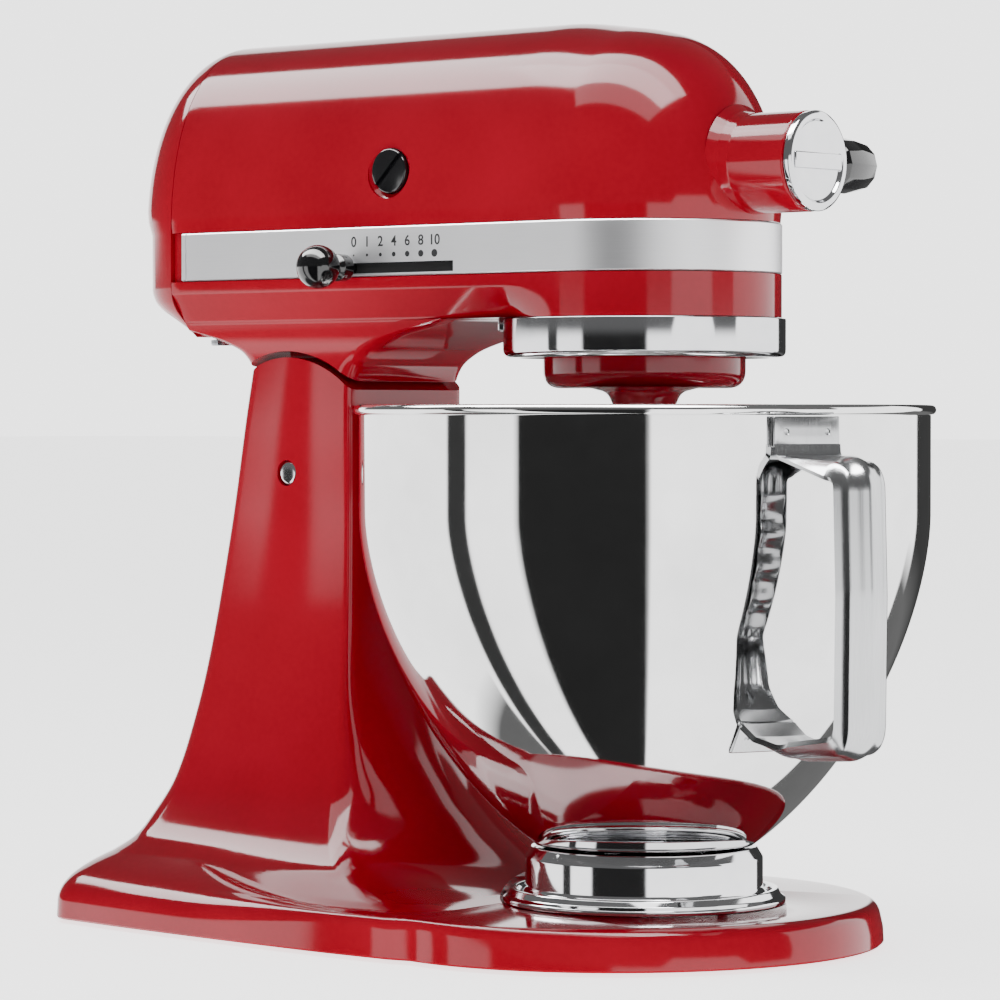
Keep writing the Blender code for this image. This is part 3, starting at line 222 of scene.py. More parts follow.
@dataclass(frozen=True)
class SpunFinish(Finish):
    """Metal turned or spun about an upright axis: fine rings run round the axis."""

    ring_mm: float = 1.2
    centre_x: float = 0.0

    def colour(self, tree: bpy.types.NodeTree, shader: bpy.types.Node,
               fine: bpy.types.NodeSocket, broad: bpy.types.NodeSocket) -> None:
        """Add faint rings to the plain metal colour.

        Args:
            tree: node tree of the material.
            shader: its Principled node.
            fine: noise at the pattern's scale.
            broad: noise at the scale of the whole piece.
        """
        super().colour(tree, shader, fine, broad)
        place = put(tree, "ShaderNodeTexCoord").outputs["Object"]
        height = put(tree, "ShaderNodeSeparateXYZ", None, {0: place}).outputs[2]
        rings = put(tree, "ShaderNodeTexNoise", {"noise_dimensions": "1D", "Detail": 2.0,
                                                 "Scale": 1.0 / (self.ring_mm * MM)}, {"W": height})
        bump = put(tree, "ShaderNodeBump", {"Strength": 1.0, "Distance": 0.0000006},
                   {"Height": rings.outputs[0]})
        tree.links.new(bump.outputs[0], shader.inputs["Normal"])


# Powder-coated enamel on die-cast aluminium: deep glossy red under a clear coat whose
# faint orange peel, about 2 mm across, softens the edges of reflections.
ENAMEL = Finish("enamel_red_powder_coat", "#850416", "#97081F", 0.085, 0.02, ior=1.41,
                pattern_mm=2.2, bump_mm=0.003)
# Plated ABS and zinc: chromium over nickel, near-mirror, with a trace of haze.
CHROME = Finish("chromium_plate", "#C4C5C8", "#E2E2E4", 0.07, 0.02, 1.0, None, pattern_mm=6.0)
# Satin-chromed strip: fine brushing along the head.
SATIN_CHROME = Finish("satin_chromium_strip", "#E4E4E6", "#F6F6F8", 0.42, 0.05, 1.0, None,
                      pattern_mm=0.35, grain=(0.02, 0.02, 1.0), bump_mm=0.002)
# 18/10 stainless, spun and mirror-polished.
MIRROR_STEEL = SpunFinish("stainless_spun_mirror", "#D6D6D6", "#F0F0F0", 0.045, 0.015, 1.0, None,
                          pattern_mm=9.0)
# 18/10 stainless, pressed and buffed: soft lengthwise grain.
BUFFED_STEEL = Finish("stainless_buffed", "#A9AAAC", "#D0D1D2", 0.20, 0.06, 1.0, None,
                      pattern_mm=0.5, grain=(1.0, 1.0, 0.04), bump_mm=0.003)
MACHINED_STEEL = Finish("steel_machined", "#7E8084", "#B4B6BA", 0.28, 0.08, 1.0, None,
                        pattern_mm=0.6, grain=(1.0, 1.0, 6.0), bump_mm=0.003)
# Glossy moulded phenolic.
BLACK_GLOSS = Finish("phenolic_gloss_black", "#060607", "#121214", 0.12, 0.04, coat=0.5,
                     pattern_mm=1.5, bump_mm=0.002)
RUBBER = Finish("nitrile_rubber", "#161616", "#262626", 0.75, 0.1, pattern_mm=0.8, bump_mm=0.02)
CARBON = Finish("carbon_graphite", "#1A1A1B", "#333335", 0.55, 0.1, pattern_mm=0.4, bump_mm=0.01)
IRON = Finish("silicon_steel_laminations", "#3A3B3D", "#77787B", 0.45, 0.1, 0.9, None,
              pattern_mm=0.7, grain=(1.0, 0.03, 0.03), bump_mm=0.08)
COPPER = Finish("copper_enamelled", "#8A4522", "#C47A45", 0.32, 0.08, 1.0, None,
                pattern_mm=0.9, grain=(0.05, 1.0, 1.0), bump_mm=0.06)
BRONZE = Finish("bronze_machined", "#8C6A34", "#BE9A5A", 0.30, 0.08, 1.0, None, pattern_mm=0.8,
                bump_mm=0.004)
# Glass-filled nylon, and the white nylon coat on the beater's aluminium.
NYLON_GREY = Finish("nylon_glass_filled", "#8E8F90", "#AEAFB0", 0.5, 0.08, pattern_mm=0.7,
                    bump_mm=0.01)
NYLON_WHITE = Finish("nylon_coated_aluminium", "#DADAD6", "#EFEFEB", 0.35, 0.05, pattern_mm=1.6,
                     bump_mm=0.01)
BOARD = Finish("fr4_solder_mask", "#0C3A1E", "#17603A", 0.35, 0.08, pattern_mm=3.0, bump_mm=0.02)
INK = Finish("screen_ink_black", "#141416", "#232325", 0.45, 0.05, pattern_mm=0.5)
# Near-black sheet behind the slide slots: painted shade of the dark recess there.
SHADOW = Finish("painted_slot_shade_black", "#050505", "#0C0C0C", 0.8, 0.05, pattern_mm=1.0)

MADE: dict[str, bpy.types.Material] = {}


def material_of(finish: Finish) -> bpy.types.Material:
    """The one material of a finish."""
    if finish.name not in MADE:
        MADE[finish.name] = finish.build()
    return MADE[finish.name]


# ------------------------------------------------------------------ outlines and curves


def ease(t: float) -> float:
    """Smooth step from 0 to 1."""
    t = min(1.0, max(0.0, t))
    return t * t * (3.0 - 2.0 * t)


def slope_at(rows: Sequence[Sequence[float]], k: int, column: int) -> float:
    """Slope of a monotone curve at row k."""
    if k in (0, len(rows) - 1):
        a, b = (0, 1) if k == 0 else (k - 1, k)
        return (rows[b][column] - rows[a][column]) / (rows[b][0] - rows[a][0])
    left = (rows[k][column] - rows[k - 1][column]) / (rows[k][0] - rows[k - 1][0])
    right = (rows[k + 1][column] - rows[k][column]) / (rows[k + 1][0] - rows[k][0])
    return 0.0 if left * right <= 0.0 else 2.0 * left * right / (left + right)


def read_curve(rows: Sequence[Sequence[float]], x: float) -> tuple[float, ...]:
    """Read smooth curves through (x, value, ...) rows.

    Args:
        rows: key rows in rising order of x.
        x: where to read.

    Returns:
        One value for each column after the first.
    """
    x = min(max(x, rows[0][0]), rows[-1][0])
    k = 0
    while k < len(rows) - 2 and rows[k + 1][0] < x:
        k += 1
    span = rows[k + 1][0] - rows[k][0]
    t = (x - rows[k][0]) / span
    values = []
    for column in range(1, len(rows[0])):
        a, b = slope_at(rows, k, column) * span, slope_at(rows, k + 1, column) * span
        p, q = rows[k][column], rows[k + 1][column]
        values.append((2 * t ** 3 - 3 * t ** 2 + 1) * p + (t ** 3 - 2 * t ** 2 + t) * a
                      + (3 * t ** 2 - 2 * t ** 3) * q + (t ** 3 - t ** 2) * b)
    return tuple(values)


def rounded(corners: Sequence[Sequence[float]], steps: int = 5) -> list[Pair]:
    """Round an open outline's corners.

    Args:
        corners: (radius, height) or (radius, height, corner radius) rows.
        steps: pieces in each arc.

    Returns:
        Points of the outline, ends kept.
    """
    points: list[Pair] = [tuple(corners[0][:2])]
    for before, here, after in zip(corners, corners[1:], corners[2:]):
        size = here[2] if len(here) > 2 else 0.0
        spot = Vector(here[:2])
        to, back = Vector(after[:2]) - spot, Vector(before[:2]) - spot
        if size <= 0.0:
            points.append(tuple(spot))
            continue
        half = to.angle(back) / 2.0
        cut = min(size / math.tan(half), to.length * 0.49, back.length * 0.49)
        start, end = spot + back.normalized() * cut, spot + to.normalized() * cut
        for i in range(steps + 1):
            t = i / steps
            points.append(tuple(start * (1 - t) ** 2 + spot * 2 * t * (1 - t) + end * t ** 2))
    points.append(tuple(corners[-1][:2]))
    return points


def mirrored(half: Sequence[Pair], height: float) -> list[Point]:
    """Close a half outline across the middle plane at one height."""
    ring = [(x, y, height) for x, y in half]
    return ring + [(x, -y, height) for x, y in reversed(half[1:-1])]


# ------------------------------------------------------------------ modelling bench


class Bench:
    """Modelling steps shared by all sub-assemblies."""

    @staticmethod
    def clear() -> None:
        """Deselect everything."""
        bpy.ops.object.select_all(action="DESELECT")

    @staticmethod
    def close(piece: bpy.types.Object) -> None:
        """Merge doubles and turn all faces outwards, in edit mode."""
        bpy.ops.mesh.select_all(action="SELECT")
        bpy.ops.mesh.remove_doubles(threshold=0.000001)
        bpy.ops.mesh.normals_make_consistent(inside=False)
        bpy.ops.object.mode_set(mode="OBJECT")

    @staticmethod
    def turned(name: str, profile: Sequence[Pair], steps: int = 96, axis: Axis = Axis.Z,
               centre: Pair = (0.0, 0.0)) -> bpy.types.Object:
        """Draw a ring out along a profile, as on a lathe.

        Args:
            name: name of the piece.
            profile: (radius, height) pairs; equal ends make a ring, zero ends make poles.
            steps: facets round the axis.
            axis: direction of the axis.
            centre: the axis's two other coordinates, in X, Y, Z order.

        Returns:
            The piece, its place in its mesh.
        """
        Bench.clear()
        radius, height = profile[0]
        pole = radius < 1e-6
        start = profile[1] if pole else profile[0]
        bpy.ops.mesh.primitive_circle_add(vertices=steps, radius=start[0] * MM,
                                          fill_type="TRIFAN" if pole else "NOTHING",
                                          location=(0.0, 0.0, start[1] * MM))
        piece = bpy.context.object
        piece.name = name
        bpy.ops.object.transform_apply(location=True)
        bpy.ops.object.mode_set(mode="EDIT")
        bpy.ops.mesh.select_mode(type="EDGE")
        bpy.ops.mesh.select_all(action="SELECT")
        if pole:
            bpy.ops.mesh.region_to_loop()
        last = start
        for radius, height in profile[2 if pole else 1:]:
            bpy.ops.mesh.extrude_region_move(
                TRANSFORM_OT_translate={"value": (0.0, 0.0, (height - last[1]) * MM)})
            factor = radius / last[0]
            bpy.ops.transform.resize(value=(factor, factor, 1.0),
                                     center_override=(0.0, 0.0, height * MM))
            last = (max(radius, 1e-9), height)
        Bench.close(piece)
        if pole:
            low = profile[0]
            for vert in piece.data.vertices:
                if vert.co.xy.length < 1e-7 and abs(vert.co.z - start[1] * MM) < 1e-7:
                    vert.co.z = low[1] * MM
        if axis is Axis.X:
            turn = Matrix(((0, 0, 1, 0), (1, 0, 0, centre[0] * MM), (0, 1, 0, centre[1] * MM),
                           (0, 0, 0, 1)))
        elif axis is Axis.Y:
            turn = Matrix(((0, 1, 0, centre[0] * MM), (0, 0, 1, 0), (1, 0, 0, centre[1] * MM),
                           (0, 0, 0, 1)))
        else:
            turn = Matrix.Translation((centre[0] * MM, centre[1] * MM, 0.0))
        piece.data.transform(turn)
        return piece

    @staticmethod
    def lofted(name: str, loops: Sequence[Sequence[Point]], ring: bool = True,
               caps: bool = False, closed: bool = False) -> bpy.types.Object:
        """Skin a stack of equally long outlines whose curvature must run on unbroken.

        Args:
            name: name of the piece.
            loops: outlines in millimetres.
            ring: whether each outline closes on itself.
            caps: whether the ends get a face.
            closed: whether the last outline joins the first.

        Returns:
            The piece.
        """
        bm = bmesh.new()
        rows = [[bm.verts.new(Vector(p) * MM) for p in loop] for loop in loops]
        pairs = list(zip(rows, rows[1:])) + ([(rows[-1], rows[0])] if closed else [])
        count = len(rows[0])
        for low, high in pairs:
            for i in range(count if ring else count - 1):
                j = (i + 1) % count
                bm.faces.new((low[i], low[j], high[j], high[i]))
        if caps:
            bm.faces.new(rows[0])
            bm.faces.new(rows[-1])
        mesh = bpy.data.meshes.new(name)
        bm.to_mesh(mesh)
        bm.free()
        piece = bpy.data.objects.new(name, mesh)
        bpy.context.scene.collection.objects.link(piece)
        Bench.clear()
        piece.select_set(True)
        bpy.context.view_layer.objects.active = piece
        bpy.ops.object.mode_set(mode="EDIT")
        Bench.close(piece)
        return piece

    @staticmethod
    def block(name: str, low: Point, high: Point, bevel: float = 0.4, steps: int = 3
              ) -> bpy.types.Object:
        """Shape a cube into a box with rounded edges.

        Args:
            name: name of the piece.
            low: lowest corner in millimetres.
            high: highest corner in millimetres.
            bevel: width of the edge rounding.
            steps: pieces in each rounding.

        Returns:
            The piece.
        """
        Bench.clear()
        bpy.ops.mesh.primitive_cube_add(size=1.0)
        piece = bpy.context.object
        piece.name = name
        bpy.ops.object.mode_set(mode="EDIT")
        bpy.ops.mesh.select_all(action="SELECT")
        size = [(b - a) * MM for a, b in zip(low, high)]
        centre = [(a + b) / 2.0 * MM for a, b in zip(low, high)]
        bpy.ops.transform.resize(value=size, center_override=(0.0, 0.0, 0.0))
        bpy.ops.transform.translate(value=centre)
        if bevel > 0.0:
            bpy.ops.mesh.bevel(offset=bevel * MM, segments=steps, affect="EDGES")
        bpy.ops.object.mode_set(mode="OBJECT")
        return piece

    @staticmethod
    def apply(piece: bpy.types.Object, kind: str, **settings: object) -> None:
        """Add a modifier with its settings and apply it.

        Args:
            piece: object to change.
            kind: modifier type.
            settings: modifier properties.
        """
        Bench.clear()
        piece.select_set(True)
        bpy.context.view_layer.objects.active = piece
        modifier = piece.modifiers.new(kind.lower(), kind)
        for key, value in settings.items():
            setattr(modifier, key, value)
        bpy.ops.object.modifier_apply(modifier=modifier.name)

    @staticmethod
    def carve(piece: bpy.types.Object, tool: bpy.types.Object, union: bool = False,
              solver: str = "EXACT") -> None:
        """Cut a tool out of a piece, or join it on, and delete the tool.

        Args:
            piece: object to change.
            tool: closed shape.
            union: join instead of cut.
            solver: Boolean solver.
        """
        Bench.apply(piece, "BOOLEAN", object=tool, operation="UNION" if union else "DIFFERENCE",
                    solver=solver)
        bpy.data.objects.remove(tool, do_unlink=True)

    @staticmethod
    def join(pieces: Sequence[bpy.types.Object], name: str) -> bpy.types.Object:
        """Join several meshes into one object."""
        Bench.clear()
        for piece in pieces:
            piece.select_set(True)
        bpy.context.view_layer.objects.active = pieces[0]
        bpy.ops.object.join()
        pieces[0].name = name
        return pieces[0]

    @staticmethod
    def smooth(piece: bpy.types.Object, degrees: float = 32.0) -> None:
        """Shade smooth except across edges sharper than an angle."""
        Bench.clear()
        piece.select_set(True)
        bpy.context.view_layer.objects.active = piece
        bpy.ops.object.shade_smooth_by_angle(angle=math.radians(degrees))

    @staticmethod
    def deliver(piece: bpy.types.Object, finish: Finish, body: Body, slot: str,
                stands_for: Sequence[str] = (), smooth: float | None = 32.0) -> bpy.types.Object:
        """Dress a finished piece and hang it on its body.

        Args:
            piece: object whose mesh is about the bowl's axis.
            finish: its finish.
            body: body it rides on.
            slot: the record's material slot; not used.
            stands_for: CAD nodes it replaces.
            smooth: angle for smooth shading, or None to leave it faceted.

        Returns:
            The same piece.
        """
        if smooth is not None:
            Bench.smooth(piece, smooth)
        piece.data.transform(Matrix.Translation((AXIS_X * MM, 0.0, 0.0)))
        piece.data.materials.clear()
        piece.data.materials.append(material_of(finish))
        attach(piece, body.value)
        if stands_for:
            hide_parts(*stands_for)
        LOG.info("%s: %d faces on %s", piece.name, len(piece.data.polygons), body.value)
        return piece


# ------------------------------------------------------------------ base


@dataclass
class Pedestal:
    """Cast base and column, its plate and feet."""

    bottom: float = 1.5
    front_centre: float = -12.0
    front_radius: float = 101.0
    rear_x: float = -234.0
    rear_half_width: float = 92.0
    rear_corner: float = 14.0
    column_top: float = 227.0
    cheek_radius: float = 46.0
    slot_half: float = 22.3
    plate_flat: float = 17.0
    plate_radius: float = 54.2
    # height, scoop's middle X, side X and half-width where the front corner's rounding
    # starts, X and half-width where it ends, rear X, rear half-width, rear corner radius
    keys: tuple[tuple[float, ...], ...] = (
        (19.0, -46.0, -66.0, 86.0, -42.0, 62.0, -229.8, 86.0, 15.5),
        (22.0, -50.0, -82.0, 78.0, -60.0, 55.0, -228.0, 82.5, 15.2),
        (28.0, -60.0, -100.0, 66.0, -79.0, 45.0, -222.0, 72.0, 14.0),
        (34.0, -69.0, -108.0, 60.5, -87.0, 40.0, -217.8, 62.0, 13.0),
        (42.0, -80.0, -113.0, 55.0, -95.0, 36.0, -214.5, 55.5, 12.0),
        (56.0, -95.0, -119.0, 47.0, -104.5, 33.0, -209.5, 47.5, 11.0),
        (74.0, -107.0, -121.0, 42.0, -112.5, 32.0, -205.0, 42.5, 10.0),
        (98.0, -115.0, -121.5, 39.0, -117.0, 31.0, -199.0, 39.2, 9.0),
        (130.0, -119.0, -122.5, 36.4, -119.0, 31.0, -192.8, 36.6, 8.5),
        (165.0, -119.5, -123.0, 35.4, -119.5, 30.6, -186.0, 35.4, 8.0),
        (200.0, -120.0, -124.0, 35.0, -120.0, 30.2, -180.0, 35.0, 8.0),
        (227.0, -120.0, -124.0, 35.0, -120.0, 30.2, -174.5, 35.0, 8.0),
    )

    def footprint(self, inset: float) -> list[Pair]:
        """Half of the base's outline, moved inwards.

        Args:
            inset: distance from the outer edge.

        Returns:
            Points from the rear middle to the front middle.
        """
        sides = ((-220.0, 92.0), (-188.0, 96.0), (-140.0, 100.3), (-100.0, 103.2), (-62.0, 104.9),
                 (-30.0, 104.6))
        half: list[Pair] = [(self.rear_x + inset, self.rear_half_width * t) for t in
                            (0.0, 0.2, 0.4, 0.6)]
        corner = max(self.rear_corner - inset, 1.0)
        hub_x, hub_y = self.rear_x + self.rear_corner, self.rear_half_width - self.rear_corner
        for i in range(9):
            a = math.pi - math.pi / 2.0 * i / 8.0
            half.append((hub_x + corner * math.cos(a), hub_y + corner * math.sin(a)))
        for i in range(1, 20):
            x = -220.0 + 190.0 * i / 20.0
            half.append((x, read_curve(sides, x)[0] - inset))
        for i in range(25):
            a = math.radians(100.0) * (1.0 - i / 24.0)
            radius = self.front_radius - inset + 3.6 * math.sin(a) ** 4
            half.append((self.front_centre + radius * math.cos(a), radius * math.sin(a)))
        return half

    def section(self, height: float) -> list[Pair]:
        """Half of the column's outline at a height, point for point like footprint()."""
        front, side_x, side_w, scoop_x, scoop_w, rear, rear_w, rear_r = read_curve(self.keys, height)
        half: list[Pair] = [(rear, (rear_w - rear_r) * t) for t in (0.0, 0.3, 0.6, 0.85)]
        for i in range(9):
            a = math.pi - math.pi / 2.0 * i / 8.0
            half.append((rear + rear_r + rear_r * math.cos(a),
                         rear_w - rear_r + rear_r * math.sin(a)))
        for i in range(1, 20):
            t = i / 20.0
            half.append((rear + rear_r + (side_x - rear - rear_r) * t,
                         rear_w + (side_w - rear_w) * t + 1.2 * math.sin(math.pi * t)))
        lead = (front - scoop_x) * math.pi / 2.0 * (side_w - scoop_w) / scoop_w
        for i in range(9):
            t = i / 8.0
            half.append(tuple(p * (1 - t) ** 2 + q * 2 * t * (1 - t) + r * t * t for p, q, r in
                              zip((side_x, side_w), (scoop_x - lead, side_w), (scoop_x, scoop_w))))
        for i in range(1, 17):
            t = i / 16.0
            half.append((scoop_x + (front - scoop_x) * math.sin(math.pi / 2.0 * t),
                         scoop_w * (1.0 - t)))
        return half

    def skirt(self, index: int, start: Pair) -> list[Point]:
        """Path from the base's side wall over its edge to the column's lowest section.

        Args:
            index: point of the half outline.
            start: that point of the footprint.

        Returns:
            Points up the path, the last one on the column.
        """
        rear = ease((29 - index) / 10.0)
        top = 19.0 + 9.0 * rear
        goal = self.section(top)[index]
        reach = math.dist(start, goal)
        shelf = max(0.45 * reach, reach - 2.0 * (top - 17.0) - 4.0)
        ledge = rounded(((0.0, 7.5), (0.02 * reach, 17.0, 8.0), (shelf, 17.0 + 0.1 * (top - 17.0), 12.0),
                         (reach, top)), 9)
        points = []
        for step, (along, height) in enumerate(ledge):
            t = step / (len(ledge) - 1)
            soft = ((1 - t) * t * t * 3 * 0.42 * reach + t ** 3 * reach,
                    7.5 * (1 - t) ** 3 + 17.0 * 3 * t * (1 - t) ** 2 + 22.5 * 3 * t * t * (1 - t)
                    + top * t ** 3)
            along += (soft[0] - along) * rear
            height += (soft[1] - height) * rear
            part = along / reach
            points.append((start[0] + (goal[0] - start[0]) * part,
                           start[1] + (goal[1] - start[1]) * part, height))
        return points

    def shell(self) -> bpy.types.Object:
        """Loft the casting from the table to the hinge and cut its seats.

        Returns:
            The finished shell.
        """
        loops = [mirrored(self.footprint(4.0), self.bottom), mirrored(self.footprint(0.8), self.bottom),
                 mirrored(self.footprint(0.0), self.bottom + 0.8)]
        paths = [self.skirt(i, start) for i, start in enumerate(self.footprint(0.3))]
        for level in range(len(paths[0])):
            half = [path[level] for path in paths]
            loops.append(half + [(x, -y, z) for x, y, z in reversed(half[1:-1])])
        floors = [path[-1][2] for path in paths]
        for step in range(1, 61):
            part = (step / 60.0) ** 1.6
            half = []
            for i, floor in enumerate(floors):
                height = floor + (self.column_top - floor) * part
                half.append((*self.section(height)[i], height))
            loops.append(half + [(x, -y, z) for x, y, z in reversed(half[1:-1])])
        piece = Bench.lofted("pedestal_shell", loops, caps=True)
        flat = Bench.turned("flat", rounded(((0.0, self.plate_flat), (55.2, self.plate_flat, 1.0),
                                             (55.2, 60.0), (0.0, 60.0))), 128)
        Bench.carve(piece, flat)
        arc = Bench.turned("arc", ((self.cheek_radius, -60.0), (90.0, -60.0), (90.0, 60.0),
                                   (self.cheek_radius, 60.0), (self.cheek_radius, -60.0)), 160,
                           Axis.Y, (PIN_X, PIN_Z))
        Bench.carve(arc, Bench.block("below", (-260.0, -90.0, 60.0), (-40.0, 90.0, 198.0), 0.0))
        Bench.carve(piece, arc)
        for low, high in (((-168.5, 150.0), (-127.0, 260.0)), ((-220.0, 174.0), (-152.0, 260.0))):
            Bench.carve(piece, Bench.block("slot", (low[0], -self.slot_half, low[1]),
                                           (high[0], self.slot_half, high[1]), 2.0))
        Bench.carve(piece, Bench.turned("bore", ((0.0, -60.0), (5.1, -60.0), (5.1, 60.0), (0.0, 60.0)),
                                        48, Axis.Y, (PIN_X, PIN_Z)))
        return piece

    def build(self) -> None:
        """Make and dress the base's pieces."""
        Bench.deliver(self.shell(), ENAMEL, Body.BASE, "enamel", ("pedestal",), 38.0)
        self.pin()
        for number in range(1, 6):
            self.foot(f"foot_{number}")
        self.clamp_plate()
        for number in range(1, 5):
            self.screw(f"clamp_screw_{number}")

    def pin(self) -> None:
        """Hinge pin with domed, chromed ends."""
        reach = edge("hinge_pin", 1, True)
        profile = rounded(((0.0, -reach), (4.8, -reach, 1.4), (4.8, reach, 1.4), (0.0, reach)), 6)
        piece = Bench.turned("hinge_pin_turned", profile, 48, Axis.Y, (PIN_X, PIN_Z))
        Bench.deliver(piece, CHROME, Body.BASE, "chrome", ("hinge_pin",))

    def foot(self, node: str) -> None:
        """One rubber foot with a dished underside.

        Args:
            node: CAD node that it replaces.
        """
        profile = rounded(((0.0, 0.6), (5.0, 0.6, 0.4), (5.6, 0.0, 0.4), (8.6, 0.0, 0.6),
                           (9.6, 1.2, 0.8), (9.9, 4.0), (0.0, 4.0)), 4)
        piece = Bench.turned(node + "_pad", profile, 48, Axis.Z,
                             (middle(node, 0) - AXIS_X, middle(node, 1)))
        Bench.deliver(piece, RUBBER, Body.BASE, "rubber", (node,))

    def clamp_plate(self) -> None:
        """Chromed dish with a rolled lip."""
        low = edge("bowl_clamp_plate", 2, False)
        reach = self.plate_radius
        profile = rounded(((0.0, low), (reach, low, 0.5), (reach, low + 1.8, 1.0),
                           (52.4, low + 3.0, 1.2), (51.2, low + 5.5, 1.0), (49.0, low + 5.5, 1.0),
                           (48.2, low + 2.1, 0.6), (43.0, low + 2.0, 1.5), (26.0, low + 1.2, 4.0),
                           (0.0, low + 1.2)), 5)
        piece = Bench.turned("clamp_dish", profile, 160)
        Bench.deliver(piece, CHROME, Body.BASE, "chrome", ("bowl_clamp_plate",))

    def screw(self, node: str) -> None:
        """Domed cross-head screw.

        Args:
            node: CAD node that it replaces.
        """
        x, y, low = middle(node, 0) - AXIS_X, middle(node, 1), edge(node, 2, True) - 2.0
        profile = rounded(((0.0, low - 7.0), (2.0, low - 7.0), (2.0, low), (4.2, low, 0.2),
                           (4.0, low + 1.2, 0.8), (0.0, low + 2.0)), 4)
        piece = Bench.turned(node + "_head", profile, 32, Axis.Z, (x, y))
        for a, b in ((2.6, 0.5), (0.5, 2.6)):
            Bench.carve(piece, Bench.block("cross", (x - a, y - b, low + 0.7),
                                           (x + a, y + b, low + 4.0), 0.0))
        Bench.deliver(piece, MACHINED_STEEL, Body.BASE, "machined_steel", (node,))


# ------------------------------------------------------------------ head


@dataclass
class Head:
    """Painted head: crown, tail cover, neck and the strip between them."""

    radius: float = 52.4
    rear_x: float = -198.0
    rear_ratio: float = 0.81
    shoulder: float = 275.7
    rise: float = 78.0
    power: float = 2.2
    droop: float = 4.2
    seam: float = -200.0
    nose_bottom: float = 240.0
    hub_radius: float = 18.8
    hub_bore: float = 13.2
    hub_face: float = 78.0
    wall: float = 2.6
    neck: tuple[tuple[float, ...], ...] = (
        (206.0, -120.0, 35.0, -170.0),
        (216.0, -120.0, 35.0, -173.0),
        (222.0, -117.5, 35.3, -175.0),
        (228.0, -110.0, 36.6, -179.0),
        (233.0, -96.0, 39.0, -189.0),
        (237.0, -76.0, 42.0, -204.0),
        (239.9, -58.0, 44.0, -214.0),
    )

    def fall(self, x: float, height: float) -> float:
        """How far the crest drops over the front dome."""
        t = max(0.0, (height - self.shoulder) / self.rise)
        return self.droop * ease((x + 30.0) / 45.0) * t ** 3

    def outline(self, radius: float, height: float = 260.0, sides: int = 60, front: int = 48,
                rear: int = 24) -> list[Pair]:
        """Half plan outline: elliptical tail, straight side, round nose."""
        ratio = self.rear_ratio - 0.09 * ease((284.0 - height) / 9.0)
        half: list[Pair] = []
        for i in range(rear + 1):
            a = math.pi - math.pi / 2.0 * i / rear
            half.append((self.rear_x + ratio * radius * math.cos(a), radius * math.sin(a)))
        half += [(self.rear_x * (1.0 - i / sides), radius) for i in range(1, sides)]
        for i in range(front + 1):
            a = math.pi / 2.0 * (1.0 - i / front)
            half.append((radius * math.cos(a), radius * math.sin(a)))
        return half

    def level(self, radius: float, height: float) -> list[Point]:
        """Whole outline at one level, with the crest's droop."""
        ring = mirrored(self.outline(radius, height), height)
        return [(x, y, z - self.fall(x, z)) for x, y, z in ring]

    def crown(self, steps: int = 30) -> list[list[Point]]:
        """Outlines up the crown, evenly spread along its curve."""
        loops = []
        for i in range(steps + 1):
            a = math.pi / 2.0 * i / steps
            radius = self.radius * max(math.cos(a), 0.0) ** (2.0 / self.power)
            height = self.shoulder + self.rise * math.sin(a) ** (2.0 / self.power)
            if i == steps:
                radius = 0.0
            loops.append(self.level(radius, height))
        return loops

    @staticmethod
    def box(x0: float, x1: float) -> bpy.types.Object:
        """Big cutting block across the head."""
        return Bench.block("cut", (x0, -120.0, 150.0), (x1, 120.0, 420.0), 0.0)

    def upper(self) -> bpy.types.Object:
        """Crown with the hole for the hub's barrel and the brush ports."""
        start = self.shoulder + 0.3
        loops = [self.level(self.radius - 0.5, start)] + self.crown()[1:]
        piece = Bench.lofted("crown_shell", loops)
        Bench.apply(piece, "SOLIDIFY", thickness=self.wall * MM, offset=-1.0, use_even_offset=False)
        Bench.carve(piece, self.box(-400.0, self.seam + 0.15))
        hole = Bench.turned("hole", ((0.0, 20.0), (16.0, 20.0), (16.0, 90.0), (0.0, 90.0)), 64,
                            Axis.X, (0.0, MOTOR_Z))
        Bench.carve(piece, hole)
        ports = rounded(((0.0, -80.0), (10.6, -80.0), (10.6, -50.6), (8.9, -49.4), (8.9, 49.4),
                         (10.6, 50.6), (10.6, 80.0), (0.0, 80.0)))
        Bench.carve(piece, Bench.turned("ports", ports, 64, Axis.Y, (BRUSH_X, MOTOR_Z)))
        return piece

    def barrel(self) -> bpy.types.Object:
        """Hub barrel with a soft root against the dome."""
        r, face = self.hub_radius, self.hub_face
        profile = rounded(((self.hub_bore, 45.3), (r + 3.6, 45.3), (r + 1.0, 49.0, 2.0),
                           (r, 53.0, 3.0), (r, face, 0.9), (self.hub_bore, face),
                           (self.hub_bore, 45.3)), 8)
        piece = Bench.turned("hub_barrel", profile, 128, Axis.X, (0.0, MOTOR_Z))
        knob = Bench.turned("bore", ((0.0, 5.0), (4.4, 5.0), (4.4, 40.0), (0.0, 40.0)), 32, Axis.Y,
                            (69.0, MOTOR_Z))
        Bench.carve(piece, knob)
        return piece

    def tail(self) -> bpy.types.Object:
        """Tail cover with its slanted underside."""
        loops = []
        for height, part in self.under_rows():
            width = 0.70 + 0.30 * part
            loops.append([(self.seam + (x - self.seam) * part if x < self.seam else x, y * width, z)
                          for x, y, z in self.level(self.radius, height)])
        loops += self.crown()[1:]
        piece = Bench.lofted("tail_shell", loops)
        Bench.apply(piece, "SOLIDIFY", thickness=self.wall * MM, offset=-1.0, use_even_offset=False)
        Bench.carve(piece, self.box(self.seam - 0.15, 200.0))
        return piece

    @staticmethod
    def under_rows() -> list[Pair]:
        """Height and reach of the tail's underside, rounded into the upright part."""
        rows = ((234.6, 0.06), (238.5, 0.34), (242.5, 0.62), (246.0, 0.83), (249.5, 0.95),
                (254.0, 1.0), (275.7, 1.0))
        steps = 36
        heights = [234.6 + (256.0 - 234.6) * i / steps for i in range(steps + 1)] + [275.7]
        return [(height, read_curve(rows, height)[0]) for height in heights]

